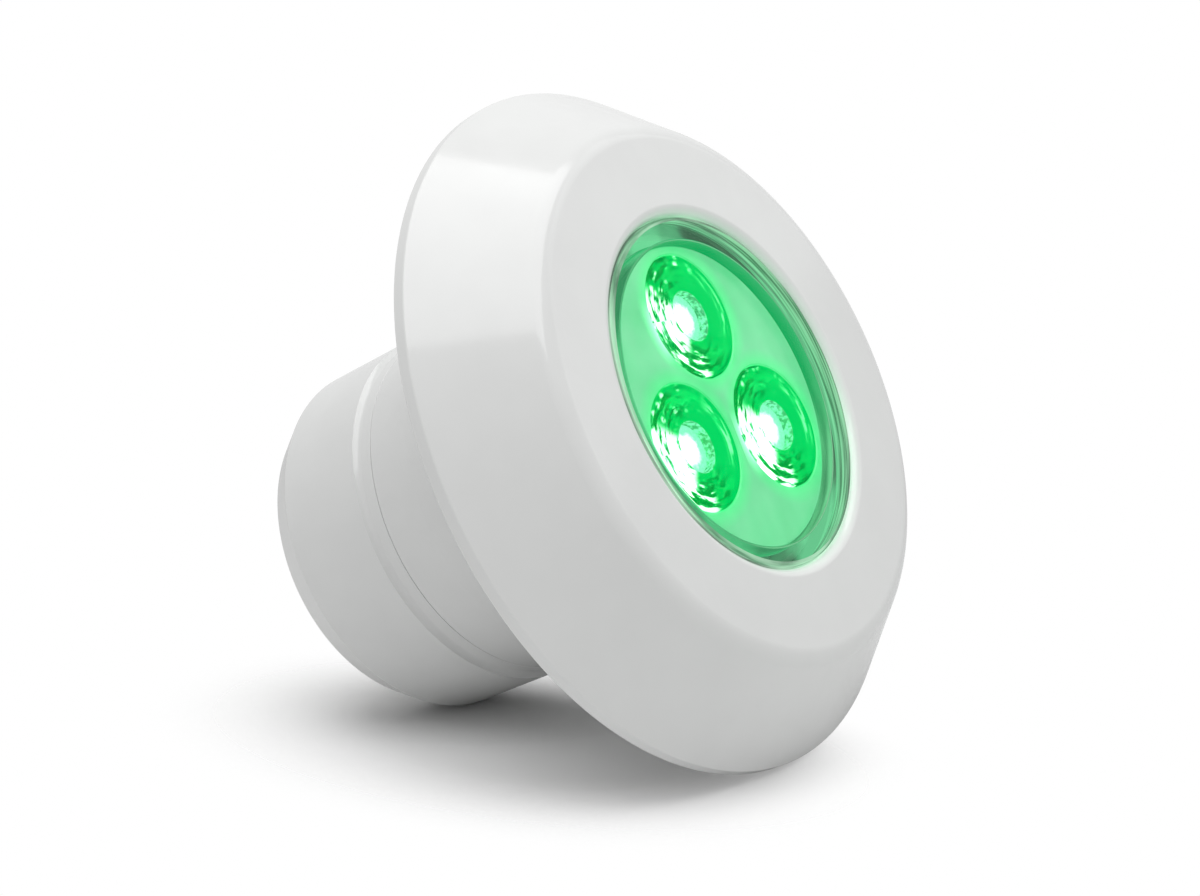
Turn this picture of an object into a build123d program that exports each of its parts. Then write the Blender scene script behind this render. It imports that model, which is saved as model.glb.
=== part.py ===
from build123d import *

import os
from math import cos, degrees, hypot, pi, radians, sin

# Underwater pool light: a round faceplate with a lit window, on a barrel that goes into the pool wall.
# The wall plane is y = 0. The light shines towards -Y, the barrel runs into the wall along +Y, +Z is up.
# A "height" is in mm in front of the wall plane: positive at the faceplate, negative inside the wall.

# ---------------------------------------------------------------- driving dimensions (mm, degrees)

# Fits
turn_gap = 0.3              # between pieces that turn, slide or clip on each other
seat_gap = 0.1              # round pieces dropped into a bore, recess or groove
thread_gap = 0.15           # a screw or threaded stem in its hole

# Faceplate
face_radius = 55.0          # over the rim
face_height = 17.0          # wall to the flat face
face_flat_radius = 42.3     # where the cone would meet the flat face
face_edge_round = 4.0
face_wall = 3.0
rim_height = 2.2
rim_break = 0.4
window_radius = 28.2
window_round = 1.75
window_skirt_wall = 2.2

# Bayonet between faceplate and housing
lug_count = 3
lug_first_angle = 30.0
lug_arc = 14.0              # between the centres of a lug's round ends
lug_reach = 2.2
lug_thickness = 2.0
hook_thickness = 1.6
hook_ring_wall = 2.2
hook_root = 1.0             # how far a hook runs into its ring
stop_radius = 1.0
stop_proud = 0.8            # of a stop's centre outside the boss

# Housing
flange_height = 4.0
flange_edge_height = 1.9
boss_rise = 4.1             # of the lens seat's wall over the flange
boss_wall = 5.2
barrel_radius = 29.6
barrel_wall = 3.0
neck_length = 31.6
neck_taper_length = 3.0
neck_taper_depth = 1.0
spigot_length = 11.5
spigot_wall = 3.0
shoulder_width = 2.6        # ledge that carries the heat sink
shoulder_height = 2.5
wall_screw_count = 4
wall_screw_inset = 5.75     # of the wall screws inside the flange's edge
wall_screw_hole_radius = 2.25

# Wall gasket
gasket_offset = 3.0         # from the barrel to the gasket's bore
gasket_screw_gap = 1.35     # from the gasket to the wall screws' holes
gasket_thickness = 1.5

# Lens, its seal and its clamp
lens_recess = 0.5           # of the lens behind the flat face
lens_thickness = 3.0
lens_wall = 3.2
lens_round = 0.8
lens_foot_width = 2.8
lens_foot_height = 2.6
lens_seal_section = 1.7
retainer_thickness = 2.2
retainer_step = 0.2         # inner rim that presses on the lens foot
retainer_round = 0.2
retainer_screw_count = 6
retainer_screw_radius = 1.2
retainer_screw_length = 7.4
retainer_head_radius = 2.2
retainer_head_height = 1.5
pilot_extra = 0.6           # pilot hole past the screw's end

# Optics
optic_air = 1.9             # lens to optic plate
optic_plate_thickness = 1.7
optic_skirt_wall = 1.6
optic_room = 2.2            # optic plate to the barrel's bore
led_count = 3
led_first_angle = 90.0
collimator_edge = 1.45      # from the collimators to the optic plate's edge
collimator_space = 2.6      # between two collimators
collimator_height = 9.7
collimator_rim = 1.2
collimator_shoulder = 0.65  # from the rim's edge to the curved flank
collimator_base_radius = 4.4
collimator_flank_radius = 15.0
collimator_cavity_radius = 2.6
collimator_cavity_depth = 3.2
collimator_well_radius = 4.0
collimator_well_depth = 1.6
collimator_lift = 1.3       # of the collimator over the LED board
holder_radius = 8.2
holder_height = 3.4
holder_foot_height = 1.0
holder_draft = 0.4          # of the outside, from foot to rim
holder_rim_wall = 0.8
holder_seat_width = 0.8
holder_bore_radius = 2.9
led_side = 3.45
led_base_height = 0.75
led_dome_radius = 1.5

# LED board and heat sink
led_board_thickness = 1.6
pad_thickness = 0.5
sink_flange_height = 3.0
sink_core_height = 3.5
fin_count = 7
fin_pitch = 5.0
fin_thickness = 1.6
fin_length = 11.0
fin_edge = 2.5              # fins stay this far inside the core's edge
board_head_gap = 0.6        # screw heads to the optic plate's skirt
board_screw_radius = 1.5
board_screw_length = 7.0
board_head_radius = 2.7
board_head_height = 1.8
lead_offset = 2.5           # of each LED lead from the axis
lead_radius = 0.8
lead_hole_radius = 1.3
solder_radius = 1.7
solder_height = 0.9

# Driver
standoff_circle = 18.0
standoff_flats = 5.5
standoff_length = 16.0
standoff_stud_radius = 1.5
standoff_stud_length = 4.0
fin_relief_radius = 3.9
driver_board_radius = 21.0
driver_board_thickness = 1.6
driver_screw_radius = 1.2
driver_screw_length = 6.0
driver_head_radius = 2.2
driver_head_height = 1.6
inductor_place = (-9.5, 3.5)
inductor_radius = 5.5
inductor_waist_radius = 4.2
inductor_height = 8.0
inductor_rim = 1.4
capacitor_places = ((9.5, 6.0), (9.5, -4.5))
capacitor_radius = 4.0
capacitor_height = 11.0
capacitor_round = 0.7
capacitor_groove_start = 1.6
capacitor_groove_width = 1.6
capacitor_groove_depth = 0.35
rectifier_place = (0.0, 11.5)
rectifier_size = (8.5, 6.5, 3.2)
rectifier_bevel = 0.6
chip_place = (0.0, 4.3)
chip_size = (4.0, 5.0, 1.5)
chip_leg_count = 4
chip_leg_pitch = 1.27
chip_leg_width = 0.42
chip_leg_reach = 1.0
chip_leg_height = 0.75
terminal_place = (0.0, -9.5)
terminal_size = (10.0, 8.0, 9.5)
terminal_pitch = 5.0
terminal_well_radius = 1.7
terminal_well_depth = 3.0
terminal_screw_height = 1.4
wire_entry_size = (3.0, 3.4)
wire_entry_depth = 5.0
slot_width = 0.6            # screwdriver slots
slot_depth = 0.7

# Rear cap and its seal
cap_step = 0.1              # of the cap inside the barrel's outline
cap_wall = 2.9
cap_length = 23.1
cap_lip_round = 1.3
cap_taper_length = 5.4
cap_taper_depth = 3.0
cap_floor = 4.0
cap_corner = 2.1
cap_seal_section = 1.4
cap_seal_setback = 2.4      # of the seal's groove behind the cap's front
spanner_hole_circle = 20.0
spanner_hole_radius = 2.2
spanner_hole_depth = 2.5

# Cable gland
pocket_radius = 13.5
pocket_depth = 6.0
pocket_wall = 3.5
gland_stem_radius = 8.0
gland_flange_flats = 22.0
gland_flange_height = 4.0
gland_seal_section = 1.4
gland_seal_circle = 9.3
locknut_flats = 20.0
locknut_height = 3.5
stem_proud = 1.5
gland_end_radius = 7.4
gland_end_length = 6.5
gland_bore_radius = 4.2
cable_radius = 3.5
cable_gap = 0.1
sleeve_radius = 5.8
sleeve_seat_depth = 5.5
sleeve_round = 0.5
gland_washer_thickness = 0.8
gland_washer_rim = 0.5      # bore of the nut's thread to the washer
gland_nut_flats = 19.0
gland_nut_wall = 2.5
gland_nut_hex_height = 5.5
gland_dome_radius = 7.6
gland_dome_round = 1.25
nut_bevel = 0.8

# ---------------------------------------------------------------- worked out from them

cone_run = face_radius - face_flat_radius
cone_rise = face_height - rim_height
cone_wall = face_wall * hypot(cone_run, cone_rise) / cone_rise      # the wall, measured along the radius
face_back = face_height - face_wall


def inner_cone_radius(height):
    """Radius of the faceplate's inside at a height."""
    return face_radius - cone_wall - (height - rim_height) * cone_run / cone_rise


def inner_cone_height(radius):
    """Height at which the faceplate's inside has a radius."""
    return rim_height + (face_radius - cone_wall - radius) * cone_rise / cone_run


bore_radius = barrel_radius - barrel_wall
cap_radius = barrel_radius - cap_step
lens_radius = window_radius - turn_gap
lens_bore_radius = lens_radius - lens_wall
lens_foot_radius = lens_radius + lens_foot_width
lens_seat_radius = lens_foot_radius + turn_gap
boss_radius = lens_seat_radius + boss_wall
retainer_bore_radius = lens_radius + turn_gap
retainer_radius = boss_radius - seat_gap
retainer_screw_circle = (lens_seat_radius + boss_radius) / 2
lug_radius = boss_radius + lug_reach
hook_inner_radius = boss_radius + turn_gap
hook_ring_inner = lug_radius + turn_gap
hook_ring_outer = hook_ring_inner + hook_ring_wall
flange_radius = face_radius - cone_wall - turn_gap
wall_screw_circle = flange_radius - wall_screw_inset
gasket_inner = barrel_radius + gasket_offset
gasket_outer = wall_screw_circle - wall_screw_hole_radius - gasket_screw_gap
plate_radius = min(lens_bore_radius - turn_gap, bore_radius - optic_room)
plate_bore_radius = plate_radius - optic_skirt_wall
board_screw_circle = plate_bore_radius - board_head_gap - board_head_radius
lens_seal_circle = (lens_radius + bore_radius + lens_seal_section) / 2
sink_radius = bore_radius - seat_gap
core_radius = bore_radius - shoulder_width - turn_gap
cap_bore_radius = cap_radius - cap_wall
spigot_radius = cap_bore_radius - turn_gap
spigot_bore_radius = spigot_radius - spigot_wall

# The collimators fill the plate: as large as their edge and the space between them allow.
led_spread = sin(pi / led_count)
optic_reach = plate_radius - collimator_edge
collimator_radius = (optic_reach * led_spread - collimator_space / 2) / (1 + led_spread)
led_circle = optic_reach - collimator_radius

boss_top = flange_height + boss_rise
foot_top = boss_top - retainer_step
foot_bottom = foot_top - lens_foot_height
seal_land = foot_bottom - lens_seal_section - seat_gap
retainer_top = boss_top + retainer_thickness
skirt_end = retainer_top + turn_gap
lug_bottom = boss_top - lug_thickness
hook_top = lug_bottom - turn_gap / 2
hook_bottom = hook_top - hook_thickness

lens_front = face_height - lens_recess
lens_back = lens_front - lens_thickness
plate_front = lens_back - optic_air
plate_back = plate_front - optic_plate_thickness
collimator_back = plate_front - collimator_height
board_front = collimator_back - collimator_lift
board_back = board_front - led_board_thickness
pad_back = board_back - pad_thickness
sink_seat = pad_back - sink_flange_height
sink_back = sink_seat - sink_core_height
fin_end = sink_back - fin_length
driver_front = sink_back - standoff_length
driver_back = driver_front - driver_board_thickness

neck_end = -neck_length
neck_foot = neck_end - neck_taper_length
bore_end = neck_end + barrel_wall / 2
spigot_end = neck_foot - spigot_length
cap_front = neck_foot - turn_gap
cap_back = cap_front - cap_length
cap_inside = cap_back + cap_floor
pocket_floor = cap_back + pocket_depth
pocket_inside = pocket_floor + cap_floor
cap_seal_height = cap_front - cap_seal_setback - cap_seal_section / 2
cap_groove_radius = cap_bore_radius + cap_seal_section - turn_gap / 2
gland_flange_end = pocket_floor - gland_flange_height
stem_top = pocket_inside + locknut_height + stem_proud
gland_end = gland_flange_end - gland_end_length
sleeve_seat = gland_end + sleeve_seat_depth
washer_front = gland_end - turn_gap
washer_back = washer_front - gland_washer_thickness
nut_bore_radius = gland_end_radius + turn_gap
nut_front = gland_flange_end - turn_gap
nut_inside = washer_back - seat_gap
nut_back = nut_inside - gland_nut_wall


def around(count, radius, first_angle):
    """Evenly spaced (x, z) places on a circle about the light's axis."""
    step = 360 / count
    angles = [radians(first_angle + i * step) for i in range(count)]
    return [(radius * cos(angle), radius * sin(angle)) for angle in angles]


led_places = around(led_count, led_circle, led_first_angle)
board_screw_places = around(led_count, board_screw_circle, led_first_angle - 180 / led_count)
standoff_places = around(led_count, standoff_circle, led_first_angle)
retainer_places = around(retainer_screw_count, retainer_screw_circle, 0)
wall_screw_places = around(wall_screw_count, wall_screw_circle, 180 / wall_screw_count)
lead_places = [(-lead_offset, 0), (lead_offset, 0)]

os.makedirs("parts", exist_ok=True)


# ---------------------------------------------------------------- helpers

def level(height):
    """Plane parallel to the wall: local x is X, local y is Z, and extruding goes towards the front."""
    return Plane.XZ.offset(height)


def section(x=0.0, z=0.0):
    """Plane through an axis along Y: local x is the radius from it, local y is the height."""
    return Plane(origin=(x, 0, z), x_dir=(1, 0, 0), z_dir=(0, 0, -1))


def axis_at(x, z):
    """Axis along Y through a place."""
    return Axis((x, 0, z), (0, 1, 0))


def outline(*corners):
    """Closed outline through (radius, height) corners, where a third number rounds that corner."""
    points = [corner[:2] for corner in corners]
    rounds = [corner[2] if len(corner) == 3 else 0 for corner in corners]
    return FilletPolyline(*points, radius=rounds, close=True)


def arc_slot(radius, width, middle_angle):
    """Round-ended curved slot about the light's axis, as long as a bayonet lug."""
    line = CenterArc((0, 0), radius, middle_angle - lug_arc / 2, lug_arc, mode=Mode.PRIVATE)
    return SlotArc(line, width)


def pan_screws(places, seat, radius, length, head_radius, head_height):
    """Slotted pan head screws with their heads seated at a height and their shanks behind it."""
    with BuildPart() as screws:
        with BuildSketch(level(seat - length)):
            with Locations(*places):
                Circle(radius)
        extrude(amount=length)
        with BuildSketch(level(seat)):
            with Locations(*places):
                Circle(head_radius)
        extrude(amount=head_height)
        fillet(screws.faces().group_by(Axis.Y)[0].edges(), head_height / 2)
        with BuildSketch(level(seat + head_height - slot_depth)):
            with Locations(*places):
                Rectangle(2 * head_radius, slot_width)
        extrude(amount=slot_depth, mode=Mode.SUBTRACT)
    return screws


# ---------------------------------------------------------------- faceplate

with BuildPart() as faceplate:
    with BuildSketch(section()):
        with BuildLine():
            outline(
                (face_radius - rim_break, 0),
                (face_radius, rim_break),
                (face_radius, rim_height),
                (face_flat_radius, face_height, face_edge_round),
                (window_radius, face_height, window_round),
                (window_radius, skirt_end),
                (window_radius + window_skirt_wall, skirt_end),
                (window_radius + window_skirt_wall, face_back),
                (hook_ring_inner, face_back),
                (hook_ring_inner, hook_bottom),
                (hook_ring_outer, hook_bottom),
                (hook_ring_outer, min(inner_cone_height(hook_ring_outer), face_back)),
                (face_radius - cone_wall, rim_height),
                (face_radius - cone_wall, 0),
            )
        make_face()
    revolve(axis=Axis.Y)
    with BuildSketch(level(hook_bottom)):
        for i in range(lug_count):
            arc_slot(
                (hook_inner_radius + hook_ring_inner + hook_root) / 2,
                hook_ring_inner + hook_root - hook_inner_radius,
                lug_first_angle + i * 360 / lug_count,
            )
    extrude(amount=hook_thickness)
faceplate.part.label = "faceplate"
export_step(faceplate.part, "parts/faceplate.step")

# ---------------------------------------------------------------- housing: flange, lens seat and barrel

cone_gap = turn_gap * hypot(cone_run, cone_rise) / cone_rise
pilot_depth = retainer_screw_length - retainer_thickness + pilot_extra
stop_circle = boss_radius + stop_proud
hook_end = (hook_ring_inner + hook_root - hook_inner_radius) / 2
stop_turn = lug_arc / 2 + degrees((hook_end + turn_gap + stop_radius) / stop_circle)

with BuildPart() as housing:
    with BuildSketch(section()):
        with BuildLine():
            outline(
                (lens_seat_radius, seal_land),
                (lens_seat_radius, boss_top),
                (boss_radius, boss_top),
                (boss_radius, flange_height),
                (inner_cone_radius(flange_height) - cone_gap, flange_height),
                (flange_radius, flange_edge_height),
                (flange_radius, 0),
                (gasket_outer + seat_gap, 0),
                (gasket_outer + seat_gap, gasket_thickness),
                (gasket_inner - seat_gap, gasket_thickness),
                (gasket_inner - seat_gap, 0),
                (barrel_radius, 0),
                (barrel_radius, neck_end),
                (barrel_radius - neck_taper_depth, neck_foot),
                (spigot_radius, neck_foot),
                (spigot_radius, spigot_end),
                (spigot_bore_radius, spigot_end),
                (spigot_bore_radius, bore_end - (bore_radius - spigot_bore_radius)),
                (bore_radius, bore_end),
                (bore_radius, sink_seat - shoulder_height),
                (bore_radius - shoulder_width, sink_seat - shoulder_height),
                (bore_radius - shoulder_width, sink_seat),
                (bore_radius, sink_seat),
                (bore_radius, seal_land),
            )
        make_face()
    revolve(axis=Axis.Y)
    with BuildSketch(level(lug_bottom)):
        for i in range(lug_count):
            arc_slot(boss_radius, 2 * lug_reach, lug_first_angle + i * 360 / lug_count)
        Circle(lens_seat_radius, mode=Mode.SUBTRACT)
    extrude(amount=lug_thickness)
    with BuildSketch(level(flange_height)):
        with Locations(*around(lug_count, stop_circle, lug_first_angle - stop_turn)):
            Circle(stop_radius)
    extrude(amount=boss_rise)
    with BuildSketch(level(boss_top - pilot_depth)):
        with Locations(*retainer_places):
            Circle(retainer_screw_radius + seat_gap / 2)
    extrude(amount=pilot_depth, mode=Mode.SUBTRACT)
    with BuildSketch(level(0)):
        with Locations(*wall_screw_places):
            Circle(wall_screw_hole_radius)
    extrude(amount=flange_height, mode=Mode.SUBTRACT)
housing.part.label = "housing"
export_step(housing.part, "parts/housing.step")

with BuildPart() as wall_gasket:
    with BuildSketch(level(0)):
        Circle(gasket_outer)
        Circle(gasket_inner, mode=Mode.SUBTRACT)
    extrude(amount=gasket_thickness)
wall_gasket.part.label = "wall_gasket"
export_step(wall_gasket.part, "parts/wall_gasket.step")

# ---------------------------------------------------------------- lens, its seal and its clamp

with BuildPart() as lens:
    with BuildSketch(section()):
        with BuildLine():
            outline(
                (0, lens_front),
                (lens_radius, lens_front, lens_round),
                (lens_radius, foot_top),
                (lens_foot_radius, foot_top),
                (lens_foot_radius, foot_bottom),
                (lens_bore_radius, foot_bottom),
                (lens_bore_radius, lens_back, lens_round / 2),
                (0, lens_back),
            )
        make_face()
    revolve(axis=Axis.Y)
lens.part.label = "lens"
export_step(lens.part, "parts/lens.step")

with BuildPart() as lens_seal:
    with BuildSketch(section()):
        with Locations((lens_seal_circle, (seal_land + foot_bottom) / 2)):
            Circle(lens_seal_section / 2)
    revolve(axis=Axis.Y)
lens_seal.part.label = "lens_seal"
export_step(lens_seal.part, "parts/lens_seal.step")

with BuildPart() as lens_retainer:
    with BuildSketch(section()):
        with BuildLine():
            outline(
                (retainer_bore_radius, retainer_top, retainer_round),
                (retainer_radius, retainer_top, retainer_round),
                (retainer_radius, boss_top),
                (lens_seat_radius - seat_gap, boss_top),
                (lens_seat_radius - seat_gap, foot_top),
                (retainer_bore_radius, foot_top),
            )
        make_face()
    revolve(axis=Axis.Y)
    with BuildSketch(level(boss_top)):
        with Locations(*retainer_places):
            Circle(retainer_screw_radius + thread_gap)
    extrude(amount=retainer_thickness, mode=Mode.SUBTRACT)
lens_retainer.part.label = "lens_retainer"
export_step(lens_retainer.part, "parts/lens_retainer.step")

retainer_screws = pan_screws(
    retainer_places,
    retainer_top,
    retainer_screw_radius,
    retainer_screw_length,
    retainer_head_radius,
    retainer_head_height,
)
retainer_screws.part.label = "retainer_screws"
export_step(retainer_screws.part, "parts/retainer_screws.step")

# ---------------------------------------------------------------- optic plate, collimators and LEDs

with BuildPart() as optic_plate:
    with BuildSketch(section()):
        with BuildLine():
            outline(
                (0, plate_front),
                (plate_radius, plate_front),
                (plate_radius, board_front),
                (plate_bore_radius, board_front),
                (plate_bore_radius, plate_back),
                (0, plate_back),
            )
        make_face()
    revolve(axis=Axis.Y)
    with BuildSketch(level(plate_back - collimator_rim)):
        with Locations(*led_places):
            Circle(collimator_radius + seat_gap)
    extrude(amount=optic_plate_thickness + collimator_rim, mode=Mode.SUBTRACT)
optic_plate.part.label = "optic_plate"
export_step(optic_plate.part, "parts/optic_plate.step")

for number, (x, z) in enumerate(led_places, start=1):
    with BuildPart() as collimator:
        with BuildSketch(section(x, z)):
            with BuildLine():
                flank_top = (collimator_radius - collimator_shoulder, plate_front - collimator_rim)
                flank_foot = (collimator_base_radius, collimator_back)
                RadiusArc(flank_top, flank_foot, collimator_flank_radius)
                Polyline(
                    flank_foot,
                    (collimator_cavity_radius, collimator_back),
                    (collimator_cavity_radius, collimator_back + collimator_cavity_depth),
                    (0, collimator_back + collimator_cavity_depth),
                    (0, plate_front - collimator_well_depth),
                    (collimator_well_radius, plate_front - collimator_well_depth),
                    (collimator_well_radius, plate_front),
                    (collimator_radius, plate_front),
                    (collimator_radius, plate_front - collimator_rim),
                    flank_top,
                )
            make_face()
        revolve(axis=axis_at(x, z))
    collimator.part.label = f"collimator_{number}"
    export_step(collimator.part, f"parts/collimator_{number}.step")

    with BuildPart() as collimator_holder:
        with BuildSketch(section(x, z)):
            with BuildLine():
                holder_seat = collimator_back - seat_gap
                holder_top = board_front + holder_height
                outline(
                    (holder_bore_radius, board_front),
                    (holder_radius, board_front),
                    (holder_radius, board_front + holder_foot_height),
                    (holder_radius - holder_draft, holder_top),
                    (holder_radius - holder_draft - holder_rim_wall, holder_top),
                    (collimator_base_radius + holder_seat_width, holder_seat),
                    (holder_bore_radius, holder_seat),
                )
            make_face()
        revolve(axis=axis_at(x, z))
    collimator_holder.part.label = f"collimator_holder_{number}"
    export_step(collimator_holder.part, f"parts/collimator_holder_{number}.step")

    with BuildPart() as led:
        with BuildSketch(level(board_front)):
            with Locations((x, z)):
                Rectangle(led_side, led_side)
        extrude(amount=led_base_height)
        with BuildSketch(section(x, z)):
            with BuildLine():
                dome_foot = board_front + led_base_height
                CenterArc((0, dome_foot), led_dome_radius, 0, 90)
                Polyline((0, dome_foot + led_dome_radius), (0, dome_foot), (led_dome_radius, dome_foot))
            make_face()
        revolve(axis=axis_at(x, z))
    led.part.label = f"led_{number}"
    export_step(led.part, f"parts/led_{number}.step")

# ---------------------------------------------------------------- LED board, thermal pad and heat sink

with BuildPart() as led_board:
    with BuildSketch(level(board_back)):
        Circle(plate_radius)
        with Locations(*board_screw_places):
            Circle(board_screw_radius + thread_gap, mode=Mode.SUBTRACT)
        with Locations(*lead_places):
            Circle(lead_hole_radius, mode=Mode.SUBTRACT)
    extrude(amount=led_board_thickness)
led_board.part.label = "led_board"
export_step(led_board.part, "parts/led_board.step")

with BuildPart() as thermal_pad:
    with BuildSketch(level(pad_back)):
        Circle(plate_radius)
        with Locations(*board_screw_places):
            Circle(board_screw_radius + thread_gap, mode=Mode.SUBTRACT)
        with Locations(*lead_places):
            Circle(lead_hole_radius, mode=Mode.SUBTRACT)
    extrude(amount=pad_thickness)
thermal_pad.part.label = "thermal_pad"
export_step(thermal_pad.part, "parts/thermal_pad.step")

board_screws = pan_screws(
    board_screw_places,
    board_front,
    board_screw_radius,
    board_screw_length,
    board_head_radius,
    board_head_height,
)
board_screws.part.label = "board_screws"
export_step(board_screws.part, "parts/board_screws.step")

with BuildPart() as heat_sink:
    with BuildSketch(level(sink_seat)):
        Circle(sink_radius)
    extrude(amount=sink_flange_height)
    with BuildSketch(level(sink_back)):
        Circle(core_radius)
    extrude(amount=sink_core_height)
    with BuildSketch(level(fin_end)):
        with GridLocations(fin_pitch, 0, fin_count, 1):
            Rectangle(fin_thickness, 2 * core_radius)
        Circle(core_radius - fin_edge, mode=Mode.INTERSECT)
        with Locations(*standoff_places):
            Circle(fin_relief_radius, mode=Mode.SUBTRACT)
    extrude(amount=fin_length)
    with BuildSketch(level(board_front - board_screw_length - pilot_extra)):
        with Locations(*board_screw_places):
            Circle(board_screw_radius + seat_gap / 2)
    extrude(amount=board_screw_length + pilot_extra, mode=Mode.SUBTRACT)
    with BuildSketch(level(sink_back)):
        with Locations(*standoff_places):
            Circle(standoff_stud_radius + seat_gap / 2)
    extrude(amount=standoff_stud_length + pilot_extra, mode=Mode.SUBTRACT)
    with BuildSketch(level(sink_back)):
        with Locations(*lead_places):
            Circle(lead_hole_radius)
    extrude(amount=sink_core_height + sink_flange_height, mode=Mode.SUBTRACT)
heat_sink.part.label = "heat_sink"
export_step(heat_sink.part, "parts/heat_sink.step")

with BuildPart() as led_leads:
    for x, z in lead_places:
        with BuildSketch(section(x, z)):
            with BuildLine():
                Polyline(
                    (0, board_front + solder_height),
                    (lead_radius, board_front + solder_height),
                    (solder_radius, board_front),
                    (lead_radius, board_front),
                    (lead_radius, driver_back),
                    (solder_radius, driver_back),
                    (lead_radius, driver_back - solder_height),
                    (0, driver_back - solder_height),
                    close=True,
                )
            make_face()
        revolve(axis=axis_at(x, z))
led_leads.part.label = "led_leads"
export_step(led_leads.part, "parts/led_leads.step")

# ---------------------------------------------------------------- driver

with BuildPart() as driver_standoffs:
    with BuildSketch(level(driver_front)):
        with Locations(*standoff_places):
            RegularPolygon(standoff_flats / 2, 6, major_radius=False)
    extrude(amount=standoff_length)
    with BuildSketch(level(sink_back)):
        with Locations(*standoff_places):
            Circle(standoff_stud_radius)
    extrude(amount=standoff_stud_length)
    with BuildSketch(level(driver_front)):
        with Locations(*standoff_places):
            Circle(driver_screw_radius + seat_gap / 2)
    extrude(amount=driver_screw_length, mode=Mode.SUBTRACT)
driver_standoffs.part.label = "driver_standoffs"
export_step(driver_standoffs.part, "parts/driver_standoffs.step")

with BuildPart() as driver_board:
    with BuildSketch(level(driver_back)):
        Circle(driver_board_radius)
        with Locations(*standoff_places):
            Circle(driver_screw_radius + thread_gap, mode=Mode.SUBTRACT)
        with Locations(*lead_places):
            Circle(lead_radius + seat_gap, mode=Mode.SUBTRACT)
    extrude(amount=driver_board_thickness)
driver_board.part.label = "driver_board"
export_step(driver_board.part, "parts/driver_board.step")

with BuildPart() as driver_screws:
    with BuildSketch(level(driver_back)):
        with Locations(*standoff_places):
            Circle(driver_screw_radius)
    extrude(amount=driver_screw_length)
    with BuildSketch(level(driver_back - driver_head_height)):
        with Locations(*standoff_places):
            Circle(driver_head_radius)
    extrude(amount=driver_head_height)
    fillet(driver_screws.faces().group_by(Axis.Y)[-1].edges(), driver_head_height / 2)
    with BuildSketch(level(driver_back - driver_head_height)):
        with Locations(*standoff_places):
            Rectangle(2 * driver_head_radius, slot_width)
    extrude(amount=slot_depth, mode=Mode.SUBTRACT)
driver_screws.part.label = "driver_screws"
export_step(driver_screws.part, "parts/driver_screws.step")

with BuildPart() as inductor:
    with BuildSketch(section(*inductor_place)):
        with BuildLine():
            outline(
                (0, driver_back),
                (inductor_radius, driver_back),
                (inductor_radius, driver_back - inductor_rim),
                (inductor_waist_radius, driver_back - inductor_rim),
                (inductor_waist_radius, driver_back - inductor_height + inductor_rim),
                (inductor_radius, driver_back - inductor_height + inductor_rim),
                (inductor_radius, driver_back - inductor_height),
                (0, driver_back - inductor_height),
            )
        make_face()
    revolve(axis=axis_at(*inductor_place))
inductor.part.label = "inductor"
export_step(inductor.part, "parts/inductor.step")

groove_start = driver_back - capacitor_groove_start
groove_end = groove_start - capacitor_groove_width

with BuildPart() as capacitors:
    for x, z in capacitor_places:
        with BuildSketch(section(x, z)):
            with BuildLine():
                outline(
                    (0, driver_back),
                    (capacitor_radius, driver_back, capacitor_groove_depth),
                    (capacitor_radius, groove_start),
                    (capacitor_radius - capacitor_groove_depth, (groove_start + groove_end) / 2),
                    (capacitor_radius, groove_end),
                    (capacitor_radius, driver_back - capacitor_height, capacitor_round),
                    (0, driver_back - capacitor_height),
                )
            make_face()
        revolve(axis=axis_at(x, z))
capacitors.part.label = "capacitors"
export_step(capacitors.part, "parts/capacitors.step")

with BuildPart() as rectifier:
    with BuildSketch(level(driver_back - rectifier_size[2])):
        with Locations(rectifier_place):
            Rectangle(rectifier_size[0], rectifier_size[1])
    extrude(amount=rectifier_size[2])
    chamfer(rectifier.faces().sort_by(Axis.Y)[-1].edges(), rectifier_bevel)
rectifier.part.label = "rectifier"
export_step(rectifier.part, "parts/rectifier.step")

with BuildPart() as driver_chip:
    with BuildSketch(level(driver_back - chip_size[2])):
        with Locations(chip_place):
            Rectangle(chip_size[0], chip_size[1])
    extrude(amount=chip_size[2])
    with BuildSketch(level(driver_back - chip_leg_height)):
        with Locations(chip_place):
            with GridLocations(chip_size[0] + chip_leg_reach, chip_leg_pitch, 2, chip_leg_count):
                Rectangle(chip_leg_reach, chip_leg_width)
    extrude(amount=chip_leg_height)
driver_chip.part.label = "driver_chip"
export_step(driver_chip.part, "parts/driver_chip.step")

terminal_screw_places = [
    (terminal_place[0] + side * terminal_pitch / 2, terminal_place[1]) for side in (-1, 1)
]
terminal_end = driver_back - terminal_size[2]
terminal_side = terminal_place[1] - terminal_size[1] / 2

with BuildPart() as terminal_block:
    with BuildSketch(level(terminal_end)):
        with Locations(terminal_place):
            Rectangle(terminal_size[0], terminal_size[1])
    extrude(amount=terminal_size[2])
    with BuildSketch(level(terminal_end)):
        with Locations(*terminal_screw_places):
            Circle(terminal_well_radius)
    extrude(amount=terminal_well_depth, mode=Mode.SUBTRACT)
    with BuildSketch(Plane.XY.offset(terminal_side)):
        with Locations(*[(x, -driver_back + wire_entry_size[1]) for x, z in terminal_screw_places]):
            Rectangle(*wire_entry_size)
    extrude(amount=wire_entry_depth, mode=Mode.SUBTRACT)
terminal_block.part.label = "terminal_block"
export_step(terminal_block.part, "parts/terminal_block.step")

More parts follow.
